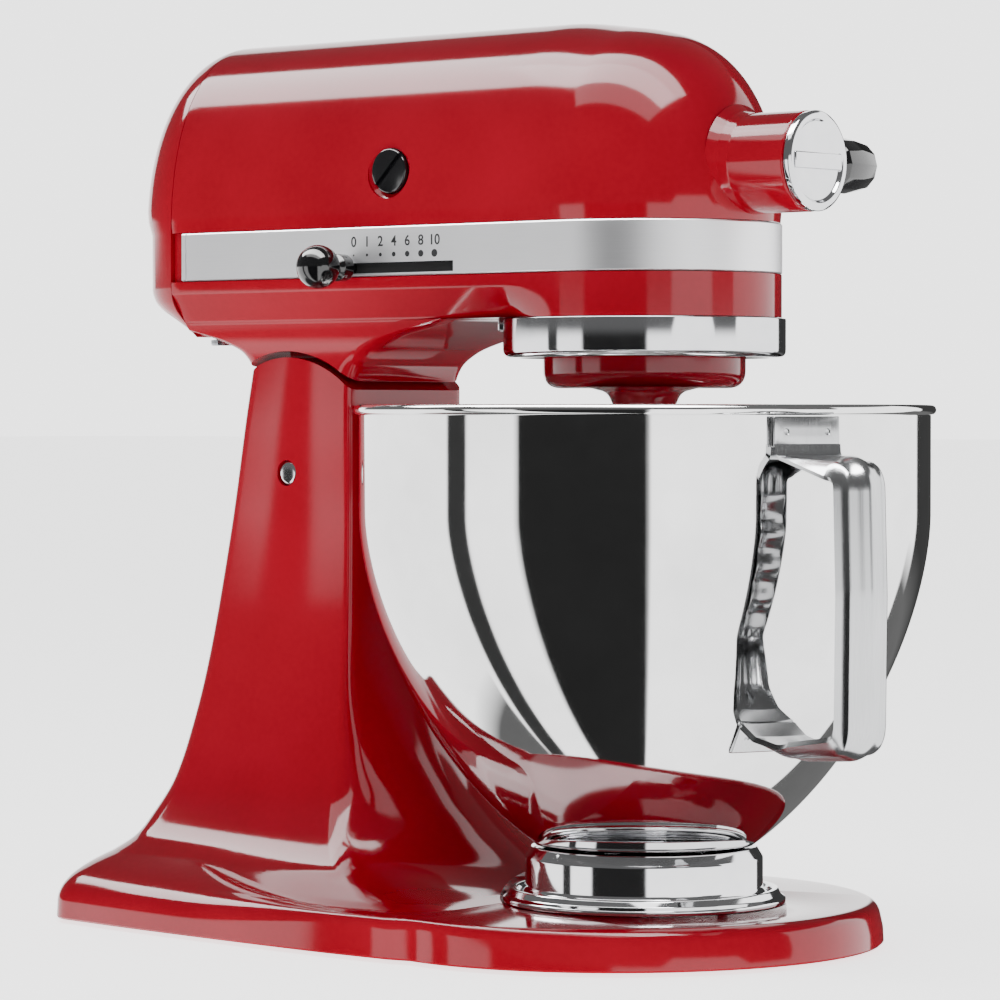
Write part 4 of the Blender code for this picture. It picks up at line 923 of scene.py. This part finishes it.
    def neck_loop(self, height: float) -> list[Point]:
        """Neck outline at a height, point for point like level()."""
        front, half_width, rear = read_curve(self.neck, height)
        corner = 7.0
        half: list[Pair] = []
        for i in range(25):
            t = i / 24.0
            if t < 0.5:
                half.append((rear, (half_width - corner) * 2.0 * t))
            else:
                a = math.pi - math.pi * (t - 0.5)
                half.append((rear + corner + corner * math.cos(a),
                             half_width - corner + corner * math.sin(a)))
        span = front - rear - 2.0 * corner
        half += [(rear + corner + span * i / 60.0, half_width) for i in range(1, 60)]
        for i in range(49):
            t = i / 48.0
            if t < 0.25:
                a = math.pi / 2.0 * (1.0 - 4.0 * t)
                half.append((front - corner + corner * math.cos(a),
                             half_width - corner + corner * math.sin(a)))
            else:
                half.append((front, (half_width - corner) * (1.0 - t) / 0.75))
        return mirrored(half, height)

    def nose_loop(self, height: float) -> list[Point]:
        """Lower head between the neck and the strip."""
        part = 1.0 - min(1.0, (height - self.nose_bottom) / (252.2 - self.nose_bottom))
        loop = []
        for x, y, z in self.level(self.radius, height):
            drum = math.sqrt(max(0.0, self.radius ** 2 - min(x, 0.0) ** 2))
            side = max(drum, self.radius - 8.4)
            loop.append((x, y * (1.0 + part * (side / self.radius - 1.0)), z))
        return loop

    def lower(self) -> bpy.types.Object:
        """Gearcase floor with the hinge neck; its tongue is made by tongue()."""
        heights = [206.0 + (239.9 - 206.0) * (i / 30.0) ** 0.8 for i in range(31)]
        loops = [self.neck_loop(height) for height in heights]
        loops += [self.nose_loop(self.nose_bottom + 12.2 * (i / 12.0)) for i in range(13)]
        loops += [self.level(self.radius, BAND_LOW - 0.3), self.level(self.radius - 1.8, BAND_LOW - 0.3),
                  self.level(self.radius - 1.8, self.shoulder + 0.2)]
        piece = Bench.lofted("gearcase_neck", loops, caps=True)
        arc = Bench.turned("arc", ((0.0, -60.0), (48.5, -60.0), (48.5, 60.0), (0.0, 60.0)), 160,
                           Axis.Y, (PIN_X, PIN_Z))
        Bench.carve(piece, arc)
        Bench.carve(piece, self.box(-400.0, self.seam + 0.15))
        well = Bench.turned("well", ((0.0, 225.0), (44.5, 225.0), (44.5, 252.0), (0.0, 252.0)), 96)
        Bench.carve(piece, well)
        return piece

    def tongue(self) -> bpy.types.Object:
        """Block that turns between the cheeks."""
        half = 12.5
        outline = [(PIN_X - half, 231.0)]
        for i in range(25):
            a = math.pi + math.pi * i / 24.0
            outline.append((PIN_X + half * math.cos(a), PIN_Z + half * math.sin(a)))
        outline.append((PIN_X + half, 231.0))
        loops = [[(x, y, z) for x, z in outline] for y in (-20.0, 20.0)]
        piece = Bench.lofted("hinge_tongue", loops, caps=True)
        Bench.carve(piece, Bench.turned("bore", ((0.0, -60.0), (5.1, -60.0), (5.1, 60.0), (0.0, 60.0)),
                                        48, Axis.Y, (PIN_X, PIN_Z)))
        return piece

    def build(self) -> None:
        """Make and dress the head's casings."""
        Bench.deliver(self.upper(), ENAMEL, Body.HEAD, "enamel", ("upper_housing",), 40.0)
        Bench.deliver(self.barrel(), ENAMEL, Body.HEAD, "enamel")
        Bench.deliver(self.tail(), ENAMEL, Body.HEAD, "enamel", ("rear_cover",), 40.0)
        Bench.deliver(self.lower(), ENAMEL, Body.HEAD, "enamel", ("lower_housing",), 40.0)
        Bench.deliver(self.tongue(), ENAMEL, Body.HEAD, "enamel")
        for side, node in ((-1.0, "brush_cap_near"), (1.0, "brush_cap_far")):
            self.brush_cap(side, node)

    def brush_cap(self, side: float, node: str) -> None:
        """Brush cap with a coin slot.

        Args:
            side: -1 on the near side, 1 on the far side.
            node: CAD node that it replaces.
        """
        face = 51.4
        profile = rounded(((0.0, side * 46.0), (8.6, side * 46.0), (8.6, side * face, 0.8),
                           (0.0, side * face)), 5)
        piece = Bench.turned(node + "_turned", profile, 64, Axis.Y, (BRUSH_X, MOTOR_Z))
        slot = Bench.block("slot", (-1.2, -1.4, -12.0), (1.2, 1.4, 12.0), 0.0)
        slot.data.transform(Matrix.Translation((BRUSH_X * MM, side * face * MM, MOTOR_Z * MM))
                            @ Matrix.Rotation(math.radians(45.0), 4, "Y"))
        Bench.carve(piece, slot)
        Bench.deliver(piece, BLACK_GLOSS, Body.HEAD, "black_plastic", (node,))


@dataclass
class Strip:
    """Chromed strip with its scale and the slide slots."""

    head: Head
    reach: float = 0.1
    depth: float = 1.4
    rear: float = -194.0
    travel: float = 40.0
    lock_travel: float = 16.0
    scale_first: float = -101.7
    scale_last: float = -60.6
    marks: tuple[str, ...] = ("0", "1", "2", "4", "6", "8", "10")

    def build(self) -> None:
        """Make and dress the strip and its markings."""
        outer, inner = self.head.radius + self.reach, self.head.radius - self.depth
        corner = 0.5
        rows = [(inner, BAND_LOW), (outer - corner, BAND_LOW), (outer, BAND_LOW + corner)]
        rows += [(outer, BAND_LOW + 1.0 + (BAND_HIGH - BAND_LOW - 2.0) * i / 8.0) for i in range(9)]
        rows += [(outer, BAND_HIGH - corner), (outer - corner, BAND_HIGH), (inner, BAND_HIGH)]
        loops = [mirrored(self.head.outline(r, z, 80, 64, 12), z) for r, z in rows]
        piece = Bench.lofted("trim_strip", loops, closed=True)
        Bench.carve(piece, Head.box(-400.0, self.rear))
        for side, x, travel in ((-1.0, SLIDE_X, self.travel), (1.0, LOCK_X, self.lock_travel)):
            low, high = sorted((side * 40.0, side * 70.0))
            tool = Bench.block("slot", (x - 4.3, low, SLIDE_Z - 2.2),
                               (x + travel + 8.0 * (side < 0) + 4.3, high, SLIDE_Z + 1.9), 0.0)
            Bench.carve(piece, tool)
            self.painted_shade_sheet(side, x, travel)
        for side in (-1.0, 1.0):
            low, high = sorted((side * (outer - 0.35), side * 60.0))
            Bench.carve(piece, Bench.block("fold", (self.rear + 2.0, low, 200.0),
                                           (self.rear + 2.7, high, 300.0), 0.0))
        Bench.deliver(piece, SATIN_CHROME, Body.HEAD, "chrome", ("trim_band",), 30.0)
        self.scale()

    def painted_shade_sheet(self, side: float, x: float, travel: float) -> None:
        """Near-black sheet behind a slot: painted shade of the recess."""
        low, high = sorted((side * 50.2, side * 50.8))
        piece = Bench.block(f"painted_slot_shade_{'near' if side < 0 else 'far'}",
                            (x - 7.0, low, SLIDE_Z - 3.2), (x + travel + 14.0, high, SLIDE_Z + 3.0), 0.1)
        # Painted shade: the sheet stands for the dark recess, not a black plastic part.
        Bench.deliver(piece, SHADOW, Body.HEAD, "black_plastic")

    def scale(self) -> None:
        """Printed speed numbers and their growing dots."""
        count = len(self.marks) - 1
        face = -(self.head.radius + self.reach)
        for i, mark in enumerate(self.marks):
            x = self.scale_first + (self.scale_last - self.scale_first) * i / count
            Bench.clear()
            bpy.ops.object.text_add()
            text = bpy.context.object
            text.data.body = mark
            text.data.align_x = "CENTER"
            text.data.size = 5.6 * MM
            text.data.offset = 0.09 * MM
            text.data.extrude = 0.03 * MM
            bpy.ops.object.convert(target="MESH")
            piece = bpy.context.object
            piece.name = f"scale_number_{mark}"
            piece.data.transform(Matrix.Translation((x * MM, face * MM, 268.2 * MM))
                                 @ Matrix.Rotation(math.pi / 2.0, 4, "X"))
            Bench.deliver(piece, INK, Body.HEAD, "black_plastic", (), None)
            dot = 0.35 + 1.15 * i / count
            profile = ((0.0, face - 0.04), (dot, face - 0.04), (dot, face + 0.05), (0.0, face + 0.05))
            piece = Bench.turned(f"scale_dot_{mark}", profile, 24, Axis.Y, (x, 264.9))
            Bench.deliver(piece, INK, Body.HEAD, "black_plastic")


@dataclass
class Hub:
    """Attachment hub's cap and clamping knob."""

    radius: float = 18.7
    rib_half: float = 3.1

    def build(self) -> None:
        """Make and dress the cap and the knob."""
        back = edge("hub_cover", 0, True) - AXIS_X - 3.4
        along = (0.0, MOTOR_Z)
        profile = rounded(((0.0, back - 7.0), (12.6, back - 7.0, 0.6), (12.6, back),
                           (18.0, back), (self.radius, back + 0.5, 0.3), (self.radius, back + 2.6, 0.8),
                           (17.4, back + 3.3, 0.7), (15.6, back + 3.0, 0.8), (14.6, back + 1.7, 1.0),
                           (0.0, back + 1.7)), 5)
        piece = Bench.turned("hub_cap_turned", profile, 128, Axis.X, along)
        rib = Bench.block("rib", (back + 0.8, -14.9, MOTOR_Z - self.rib_half),
                          (back + 3.3, 14.9, MOTOR_Z + self.rib_half), 0.7)
        Bench.carve(piece, rib, True)
        Bench.deliver(piece, CHROME, Body.CAP, "chrome", ("hub_cover",))
        profile = ((0.0, 14.6), (3.9, 14.6), (3.9, 22.5), (8.8, 22.5), (10.4, 24.3), (10.6, 33.6),
                   (9.2, 42.6), (7.6, 43.6), (0.0, 43.9))
        piece = Bench.turned("hub_knob_moulded", profile, 12, Axis.Y, (69.0, MOTOR_Z))
        Bench.apply(piece, "BEVEL", width=0.45 * MM, segments=3, limit_method="ANGLE",
                    angle_limit=math.radians(20.0))
        Bench.deliver(piece, BLACK_GLOSS, Body.HUB_SCREW, "black_plastic", ("attachment_knob",), 25.0)


@dataclass
class Slides:
    """Round knobs on the slide levers."""

    profile: tuple[tuple[float, ...], ...] = (
        (0.0, 50.0), (2.1, 50.0), (2.1, 55.0, 0.6), (5.2, 55.6, 0.8), (5.4, 61.0, 1.0),
        (4.0, 62.6, 0.8), (4.0, 63.4, 0.6))

    def build(self) -> None:
        """Make and dress both knobs."""
        for side, x, body, node in ((-1.0, SLIDE_X, Body.SPEED, "speed_knob"),
                                    (1.0, LOCK_X, Body.LOCK, "lock_knob")):
            points = rounded(self.profile, 5)
            for i in range(1, 20):
                a = math.radians(28.0) + math.radians(152.0) * i / 20.0
                points.append((8.5 * math.sin(a), 71.0 - 8.5 * math.cos(a)))
            points.append((0.0, 79.5))
            piece = Bench.turned(node + "_moulded", [(r, side * h) for r, h in points], 64, Axis.Y,
                                 (x, SLIDE_Z))
            Bench.deliver(piece, BLACK_GLOSS, body, "black_plastic", (node,), 50.0)


@dataclass
class Planetary:
    """Planetary casting, drip ring and beater drive."""

    disc: float = 38.7

    def build(self) -> None:
        """Make and dress the pieces under the nose."""
        place = (SHAFT_X, SHAFT_Y)
        profile = rounded(((0.0, 213.2), (38.7, 213.2, 9.0), (38.7, 227.6, 0.6), (0.0, 227.6)), 12)
        piece = Bench.turned("planetary_casting", profile, 160)
        boss = rounded(((0.0, 201.0), (11.8, 201.0, 1.2), (11.9, 207.0, 3.0), (14.0, 211.6, 5.0),
                        (22.0, 213.6), (0.0, 214.5)), 8)
        Bench.carve(piece, Bench.turned("boss", boss, 96, Axis.Z, place), True)
        bore = Bench.turned("bore", ((0.0, 190.0), (6.6, 190.0), (6.6, 224.0), (0.0, 224.0)), 48,
                            Axis.Z, place)
        Bench.carve(piece, bore)
        Bench.deliver(piece, ENAMEL, Body.PLANETARY, "enamel", ("planetary",), 40.0)
        self.drip_ring()
        self.beater(place)

    def drip_ring(self) -> None:
        """Chromed ring with a rolled lower edge and its clip tab."""
        low, high = edge("drip_ring", 2, False) - 0.8, edge("drip_ring", 2, True)
        profile = rounded(((50.6, high), (50.6, low + 1.4, 0.8), (47.6, low + 0.6), (47.6, low),
                           (54.0, low, 4.4), (54.0, high, 0.4), (50.6, high)), 10)
        piece = Bench.turned("drip_ring_turned", profile, 160)
        Bench.deliver(piece, CHROME, Body.HEAD, "chrome", ("drip_ring",))
        turn = Matrix.Rotation(math.radians(214.0), 4, "Z")
        tab = Bench.block("drip_ring_clip", (51.5, -3.0, high - 4.6), (56.0, 3.0, high + 0.8), 0.7)
        tab.data.transform(turn)
        Bench.deliver(tab, CHROME, Body.HEAD, "chrome")

    def beater(self, place: Pair) -> None:
        """Beater shaft, drive pin and coated flat beater.

        Args:
            place: shaft's X and Y.
        """
        x0, y0 = place
        profile = rounded(((0.0, 158.0), (6.2, 158.0, 1.2), (6.2, 180.0), (5.6, 181.0, 0.4),
                           (5.6, 184.0, 0.4), (6.2, 185.0), (6.2, 237.5), (0.0, 237.5)), 4)
        piece = Bench.turned("beater_spindle", profile, 48, Axis.Z, place)
        Bench.deliver(piece, MACHINED_STEEL, Body.BEATER, "machined_steel", ("beater_shaft",))
        piece = Bench.turned("drive_cross_pin",
                             rounded(((0.0, y0 - 12.6), (1.5, y0 - 12.6, 0.5), (1.5, y0 + 12.6, 0.5),
                                      (0.0, y0 + 12.6)), 3), 24, Axis.Y, (x0, 188.0))
        Bench.deliver(piece, MACHINED_STEEL, Body.BEATER, "machined_steel", ("drive_pin",))
        outline = [(x0 - 53.0 * math.cos(math.pi * i / 64.0), 106.0 - 53.0 * math.sin(math.pi * i / 64.0))
                   for i in range(65)]
        outline += [(x0 + 51.0, 132.0), (x0 + 34.0, 150.0), (x0 + 8.0, 158.0), (x0 - 8.0, 158.0),
                    (x0 - 34.0, 150.0), (x0 - 51.0, 132.0)]
        piece = Bench.lofted("flat_beater_cast", [[(x, y0 + s, z) for x, z in outline]
                                                  for s in (-4.0, 4.0)], caps=True)
        for side in (-1.0, 1.0):
            for low, high, inner, outer in ((112.0, 138.0, 6.5, 46.0), (87.0, 105.0, 6.5, 46.0),
                                            (68.0, 81.0, 6.5, 32.0)):
                window = [(x0 + side * inner, low), (x0 + side * outer * 0.92, low),
                          (x0 + side * outer, (low + high) / 2.0),
                          (x0 + side * outer * 0.9, high - 4.0), (x0 + side * outer * 0.6, high),
                          (x0 + side * inner, high)]
                tool = Bench.lofted("window", [[(x, y0 + s, z) for x, z in window]
                                               for s in (-9.0, 9.0)], caps=True)
                Bench.carve(piece, tool)
        socket = Bench.turned("socket", rounded(((0.0, 150.0), (8.5, 150.0, 0.5), (9.8, 153.0, 1.0),
                                                 (9.8, 185.6, 1.0), (0.0, 185.6)), 4), 48, Axis.Z, place)
        Bench.carve(piece, socket, True)
        Bench.carve(piece, Bench.turned("bore", ((0.0, 157.6), (6.6, 157.6), (6.6, 200.0), (0.0, 200.0)),
                                        48, Axis.Z, place))
        Bench.apply(piece, "BEVEL", width=1.1 * MM, segments=3, limit_method="ANGLE",
                    angle_limit=math.radians(40.0))
        Bench.deliver(piece, NYLON_WHITE, Body.BEATER, "nylon_coating", ("flat_beater",), 40.0)


# ------------------------------------------------------------------ bowl


@dataclass
class Bowl:
    """Spun bowl, its foot and its strap handle."""

    radius: float = 109.0
    shoulder: float = 165.0
    depth: float = 143.0
    power: float = 1.7
    wall: float = 1.2
    seat: float = 39.5
    foot_radius: float = 45.5
    handle_angle: float = math.atan2(-0.352, 0.936)
    strap_half: float = 12.5
    rim: float = field(default=RIM_TOP)

    def reach(self, height: float) -> float:
        """Outer radius at a height."""
        if height >= self.shoulder:
            return self.radius
        t = (self.shoulder - height) / self.depth
        return self.radius * max(0.0, 1.0 - t ** self.power) ** (1.0 / self.power)

    def bowl(self) -> None:
        """Spin the bowl with its rolled rim."""
        levels = [self.seat + (self.shoulder - self.seat) * (i / 44.0) ** 1.35 for i in range(45)]
        levels += [175.0, 190.0, 199.0]
        outer = [(0.0, self.seat - 0.6), (self.reach(self.seat) - 4.0, self.seat - 0.5)]
        outer += [(self.reach(z), z) for z in levels]
        roll = 2.0
        mid_r, mid_z = self.radius + 0.35, self.rim - roll
        for i in range(13):
            a = -math.pi / 2.0 + math.pi * 1.25 * i / 12.0
            outer.append((mid_r - 0.35 + roll * math.cos(a), mid_z + roll * math.sin(a)))
        inner = [(self.reach(z) - self.wall, z + 0.3) for z in reversed(levels[2:])]
        inner += [(self.reach(self.seat) - 6.0, self.seat + 1.4), (0.0, self.seat + 0.8)]
        piece = Bench.turned("spun_bowl", outer + inner, 192)
        Bench.deliver(piece, MIRROR_STEEL, Body.BOWL, "polished_steel", ("bowl",), 50.0)

    def foot(self) -> None:
        """Welded foot ring with rolled edges."""
        low, high = edge("bowl_foot", 2, False), edge("bowl_foot", 2, True)
        r = self.foot_radius
        profile = rounded(((r - 8.0, high), (r - 8.0, high - 1.2), (r - 1.6, high - 1.2, 1.2),
                           (r - 1.0, low + 0.6), (r - 0.6, low), (r + 1.8, low, 0.5),
                           (r + 1.8, low + 1.2, 0.8), (r, low + 3.2, 2.5), (r, high - 4.0, 2.0),
                           (r - 2.4, high, 1.2), (r - 8.0, high)), 6)
        piece = Bench.turned("bowl_foot_ring", profile, 160)
        Bench.deliver(piece, CHROME, Body.BOWL, "polished_steel", ("bowl_foot",))

    def path(self) -> list[Pair]:
        """Centre line of the strap from under the rim's tab to the lower tab's top."""
        r, low = self.radius + 1.9, self.reach(89.0) + 1.2
        corners = ((r, 192.5), (r + 0.6, 187.8, 3.0), (148.6, 186.2, 11.0), (150.4, 140.0, 80.0),
                   (149.4, 83.2, 12.0), (110.0, 79.9, 22.0), (low + 8.0, 85.5, 9.0), (low, 89.8))
        return rounded(corners, 14)

    def handle(self) -> None:
        """Pressed strap with turned-in edges, and the two tabs that weld it to the bowl."""
        path = self.path()
        total = len(path) - 1
        lengths = [0.0]
        for before, after in zip(path, path[1:]):
            lengths.append(lengths[-1] + math.dist(before, after))
        loops = []
        for i, (reach, height) in enumerate(path):
            before, after = path[max(i - 1, 0)], path[min(i + 1, total)]
            along = Vector((after[0] - before[0], after[1] - before[1])).normalized()
            out = Vector((-along.y, along.x))
            start, end = lengths[i], lengths[-1] - lengths[i]
            grip = ease((start - 4.0) / 24.0) * ease((end - 6.0) / 34.0)
            half = 14.2 - 3.4 * ease(start / 42.0) + 1.6 * ease((30.0 - end) / 30.0)
            loops.append(self.strap_section((reach, height), out, grip, half))
        pieces = [Bench.lofted("strap_handle", loops, caps=True), self.tab(191.5, 202.6, 14.2, 110.4),
                  self.tab(79.6, 90.4, 12.3, self.reach(90.0) + 0.2)]
        for piece in pieces:
            piece.data.transform(Matrix.Rotation(self.handle_angle, 4, "Z"))
        Bench.deliver(pieces[0], BUFFED_STEEL, Body.BOWL, "polished_steel", ("bowl_handle",), 45.0)
        Bench.deliver(pieces[1], BUFFED_STEEL, Body.BOWL, "polished_steel", (), 45.0)
        Bench.deliver(pieces[2], BUFFED_STEEL, Body.BOWL, "polished_steel", (), 45.0)

    def tab(self, low: float, high: float, half: float, reach: float) -> bpy.types.Object:
        """Flat welded tab lying on the wall, with its spot-weld dimples.

        Args:
            low: lower edge.
            high: upper edge.
            half: half width.
            reach: distance of its outer face's top from the bowl's axis, less its thickness.

        Returns:
            The tab in the handle's own plane.
        """
        lean = self.reach(low) - self.reach(high)
        piece = Bench.block("handle_tab_high" if high > 150.0 else "handle_tab_low",
                            (reach - 1.4, -half, low), (reach + 1.1, half, high), 0.5)
        Bench.apply(piece, "BEVEL", width=0.2 * MM, segments=1, limit_method="ANGLE",
                    angle_limit=math.radians(60.0))
        for vert in piece.data.vertices:
            vert.co.x += lean * (high * MM - vert.co.z) / (high - low)
        middle_z = (low + high) / 2.0
        for side in (-0.62, 0.62):
            x = reach + 1.1 + lean * 0.5
            dimple = Bench.turned("dimple", ((0.0, x - 0.5), (0.9, x - 0.45), (1.5, x + 0.4), (0.0, x + 0.5)),
                                  24, Axis.X, (side * half, middle_z))
            Bench.carve(piece, dimple)
        return piece

    @staticmethod
    def strap_section(place: Pair, out: Vector, grip: float, half: float) -> list[Point]:
        """Closed section of the strap.

        Args:
            place: distance from the bowl's axis and height.
            out: outward direction in the handle's plane.
            grip: 0 where the strap is flat, 1 on the grip.
            half: half width.

        Returns:
            Points round the section.
        """
        reach, height = place
        skin = 0.9
        upper: list[Pair] = []
        for i in range(25):
            u = -1.0 + i / 12.0
            bead = 0.9 * math.cos(min(abs(u) / 0.62, 1.0) * math.pi) + 0.3
            upper.append((u * half, skin + grip * (bead - 5.2 * max(0.0, abs(u) - 0.62) ** 2 / 0.1444)))
        lower = [(w * 0.90, lift - 1.8) for w, lift in reversed(upper)]
        ring = upper + lower
        return [(reach + out.x * lift, w, height + out.y * lift) for w, lift in ring]

    def grip(self) -> None:
        """Finger-grip insert inside the strap."""
        steps = 96
        outline = [(142.4 - 1.7 * math.cos(8.0 * math.pi * i / steps), 174.0 - 78.0 * i / steps)
                   for i in range(steps + 1)]
        outline += [(145.6, 95.0), (147.4, 120.0), (147.6, 150.0), (146.2, 174.5)]
        loops = [[(r, w, h) for r, h in outline] for w in (-8.0, 8.0)]
        piece = Bench.lofted("finger_grip", loops, caps=True)
        Bench.apply(piece, "BEVEL", width=0.9 * MM, segments=3, limit_method="ANGLE",
                    angle_limit=math.radians(50.0))
        piece.data.transform(Matrix.Rotation(self.handle_angle, 4, "Z"))
        Bench.deliver(piece, BUFFED_STEEL, Body.BOWL, "polished_steel", ("handle_grip",), 40.0)

    def build(self) -> None:
        """Make and dress the bowl's pieces."""
        self.bowl()
        self.foot()
        self.handle()
        self.grip()


# ------------------------------------------------------------------ carried-over nodes


@dataclass
class Internals:
    """Finishes of the CAD nodes that keep their own shape."""

    finishes: dict[Finish, tuple[str, ...]] = field(default_factory=lambda: {
        MACHINED_STEEL: ("center_shaft", "center_bevel", "planet_pinion", "armature_shaft",
                         "pinion_shaft", "hub_bevel_gear", "hub_drive_shaft", "ring_gear",
                         "speed_lever", "lock_lever", "rear_cover_screw"),
        RUBBER: ("cord_gland",),
        CARBON: ("carbon_brush_near", "carbon_brush_far"),
        IRON: ("stator", "worm_bracket"),
        COPPER: ("rotor_core", "commutator"),
        BRONZE: ("center_gear", "worm_gear", "front_bearing", "rear_bearing",
                 "brush_holder_near", "brush_holder_far"),
        NYLON_GREY: ("base_plate", "speed_plate", "cooling_fan"),
        BOARD: ("control_board",),
    })

    def build(self) -> None:
        """Give each carried-over node its finish."""
        for finish, nodes in self.finishes.items():
            for name in nodes:
                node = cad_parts[name]
                node.data.materials.clear()
                node.data.materials.append(material_of(finish))
            LOG.info("%s on %s", finish.name, ", ".join(nodes))


# ------------------------------------------------------------------ studio


@dataclass
class Studio:
    """Pale floor, soft surround with dark flags, and the camera."""

    walls: tuple[tuple[float, float, float], ...] = (
        (-180.0, -149.0, 0.02), (-149.0, -47.0, 1.0), (-47.0, -37.0, 0.02), (-37.0, -14.0, 1.0),
        (-14.0, 39.7, 0.01), (39.7, 178.0, 1.0), (178.0, 180.0, 0.02))
    tops: tuple[tuple[float, float, float], ...] = (
        (-180.0, -112.0, 0.50), (-108.0, 60.0, 0.005), (64.0, 92.0, 0.10), (96.0, 118.0, 0.005),
        (122.0, 180.0, 0.50))
    feet: tuple[tuple[float, float, float], ...] = (
        (-180.0, -125.0, 0.10), (-120.0, -50.0, 0.60), (-45.0, 165.0, 1.0),
        (170.0, 180.0, 0.10))
    ceiling: float = 0.06
    strength: float = 2.9
    glow: float = 2.15
    # name, place, size, power, and whether only reflections see it
    boxes: tuple[tuple[str, Point, Pair, float, bool], ...] = (
        ("overhead", (0.05, -0.9, 1.9), (2.7, 1.2), 36.0, False),
        ("crown_strip", (-0.7, -0.42, 1.95), (4.2, 0.95), 190.0, True),
    )
    distance: Point = (1.0024, -1.2946, 0.2026)
    turn: float = 39.68
    tilt: float = 1.12
    lens: float = 154.22

    def build(self) -> None:
        """Set up floor, light and camera."""
        self.floor()
        self.surround()
        self.lamps()
        self.camera()

    def floor(self) -> None:
        """Pale sweep under the mixer."""
        Bench.clear()
        bpy.ops.mesh.primitive_plane_add(size=60.0)
        plane = bpy.context.object
        plane.name = "studio_floor"
        paper = material_of(Finish("studio_paper", "#F4F4F4", "#FAFAFA", 0.8, 0.05, pattern_mm=30.0))
        shader = paper.node_tree.nodes["Principled BSDF"]
        shader.inputs["Emission Color"].default_value = srgb("#FFFFFF")
        shader.inputs["Emission Strength"].default_value = self.glow
        plane.data.materials.append(paper)
        plane.visible_glossy = False

    def surround(self) -> None:
        """White walls with dark gaps round the set, as one world shader."""
        world = bpy.data.worlds.new("studio")
        bpy.context.scene.world = world
        world.use_nodes = True
        tree = world.node_tree
        tree.nodes.clear()
        way = put(tree, "ShaderNodeTexCoord").outputs["Generated"]
        parts = put(tree, "ShaderNodeSeparateXYZ", None, {0: way})
        flip = put(tree, "ShaderNodeMath", {"operation": "MULTIPLY", 1: -1.0}, {0: parts.outputs[1]})
        around = put(tree, "ShaderNodeMath", {"operation": "ARCTAN2"},
                     {0: parts.outputs[0], 1: flip.outputs[0]})
        turn = put(tree, "ShaderNodeMapRange", {"From Min": -math.pi, "From Max": math.pi},
                   {"Value": around.outputs[0]})
        walls, tops, feet = (put(tree, "ShaderNodeValToRGB", None, {0: turn.outputs[0]})
                             for _ in range(3))
        for node, stops in ((walls, self.walls), (tops, self.tops), (feet, self.feet)):
            self.paint(node.color_ramp, stops)
        over = put(tree, "ShaderNodeMath", {"operation": "SUBTRACT"},
                   {0: parts.outputs[2], 1: tops.outputs[0]})
        under = put(tree, "ShaderNodeMath", {"operation": "ADD"},
                    {0: parts.outputs[2], 1: feet.outputs[0]})
        above = put(tree, "ShaderNodeMapRange", {"From Min": 0.0, "From Max": 0.03},
                    {"Value": over.outputs[0]})
        below = put(tree, "ShaderNodeMapRange", {"From Min": 0.0, "From Max": -0.1},
                    {"Value": under.outputs[0]})
        either = put(tree, "ShaderNodeMath", {"operation": "MAXIMUM"},
                     {0: above.outputs[0], 1: below.outputs[0]})
        dim = (self.ceiling, self.ceiling, self.ceiling, 1.0)
        mix = put(tree, "ShaderNodeMix", {"data_type": "RGBA", 7: dim},
                  {0: either.outputs[0], 6: walls.outputs[0]})
        seen = put(tree, "ShaderNodeLightPath").outputs["Is Camera Ray"]
        plain = put(tree, "ShaderNodeMix", {"data_type": "RGBA", 7: (1.0, 1.0, 1.0, 1.0)},
                    {0: seen, 6: mix.outputs[2]})
        back = put(tree, "ShaderNodeBackground", {"Strength": self.strength}, {"Color": plain.outputs[2]})
        put(tree, "ShaderNodeOutputWorld", None, {"Surface": back.outputs[0]})

    @staticmethod
    def paint(ramp: bpy.types.ColorRamp, stops: Sequence[tuple[float, float, float]]) -> None:
        """Paint sectors of a full turn on a ramp.

        Args:
            ramp: colour ramp, 0.5 at -Y and rising towards +X.
            stops: first angle, last angle and tone of each sector, in rising order.
        """
        ramp.interpolation = "LINEAR"
        for low, high, tone in stops:
            for angle in (low + 0.5, high - 0.5):
                element = ramp.elements.new((angle + 180.0) / 360.0)
                element.color = (tone, tone, tone, 1.0)
        ramp.elements.remove(ramp.elements[0])
        ramp.elements.remove(ramp.elements[-1])

    def lamps(self) -> None:
        """Large soft boxes above the mixer."""
        for name, place, size, power, glossy_only in self.boxes:
            data = bpy.data.lights.new(name, "AREA")
            data.energy = power
            data.shape = "RECTANGLE"
            data.size, data.size_y = size
            lamp = bpy.data.objects.new(name, data)
            lamp.location = place
            lamp.visible_diffuse = not glossy_only
            bpy.context.scene.collection.objects.link(lamp)

    def camera(self) -> None:
        """Long lens, level with the bowl's rim."""
        data = bpy.data.cameras.new("view")
        data.lens = self.lens
        data.sensor_width = 36.0
        data.clip_end = 50.0
        camera = bpy.data.objects.new("view", data)
        camera.location = Vector(self.distance) + Vector((AXIS_X * MM, 0.0, 0.0))
        camera.rotation_euler = (math.radians(90.0 - self.tilt), 0.0, math.radians(self.turn))
        bpy.context.scene.collection.objects.link(camera)
        bpy.context.scene.camera = camera


def main() -> None:
    """Build every sub-assembly in order."""
    logging.basicConfig(level=logging.INFO, format="%(name)s %(message)s")
    head = Head()
    for part in (Pedestal(), head, Strip(head), Hub(), Slides(), Planetary(), Bowl(), Internals(),
                 Studio()):
        LOG.info("building %s", type(part).__name__)
        part.build()


if __name__ == "__main__":
    main()
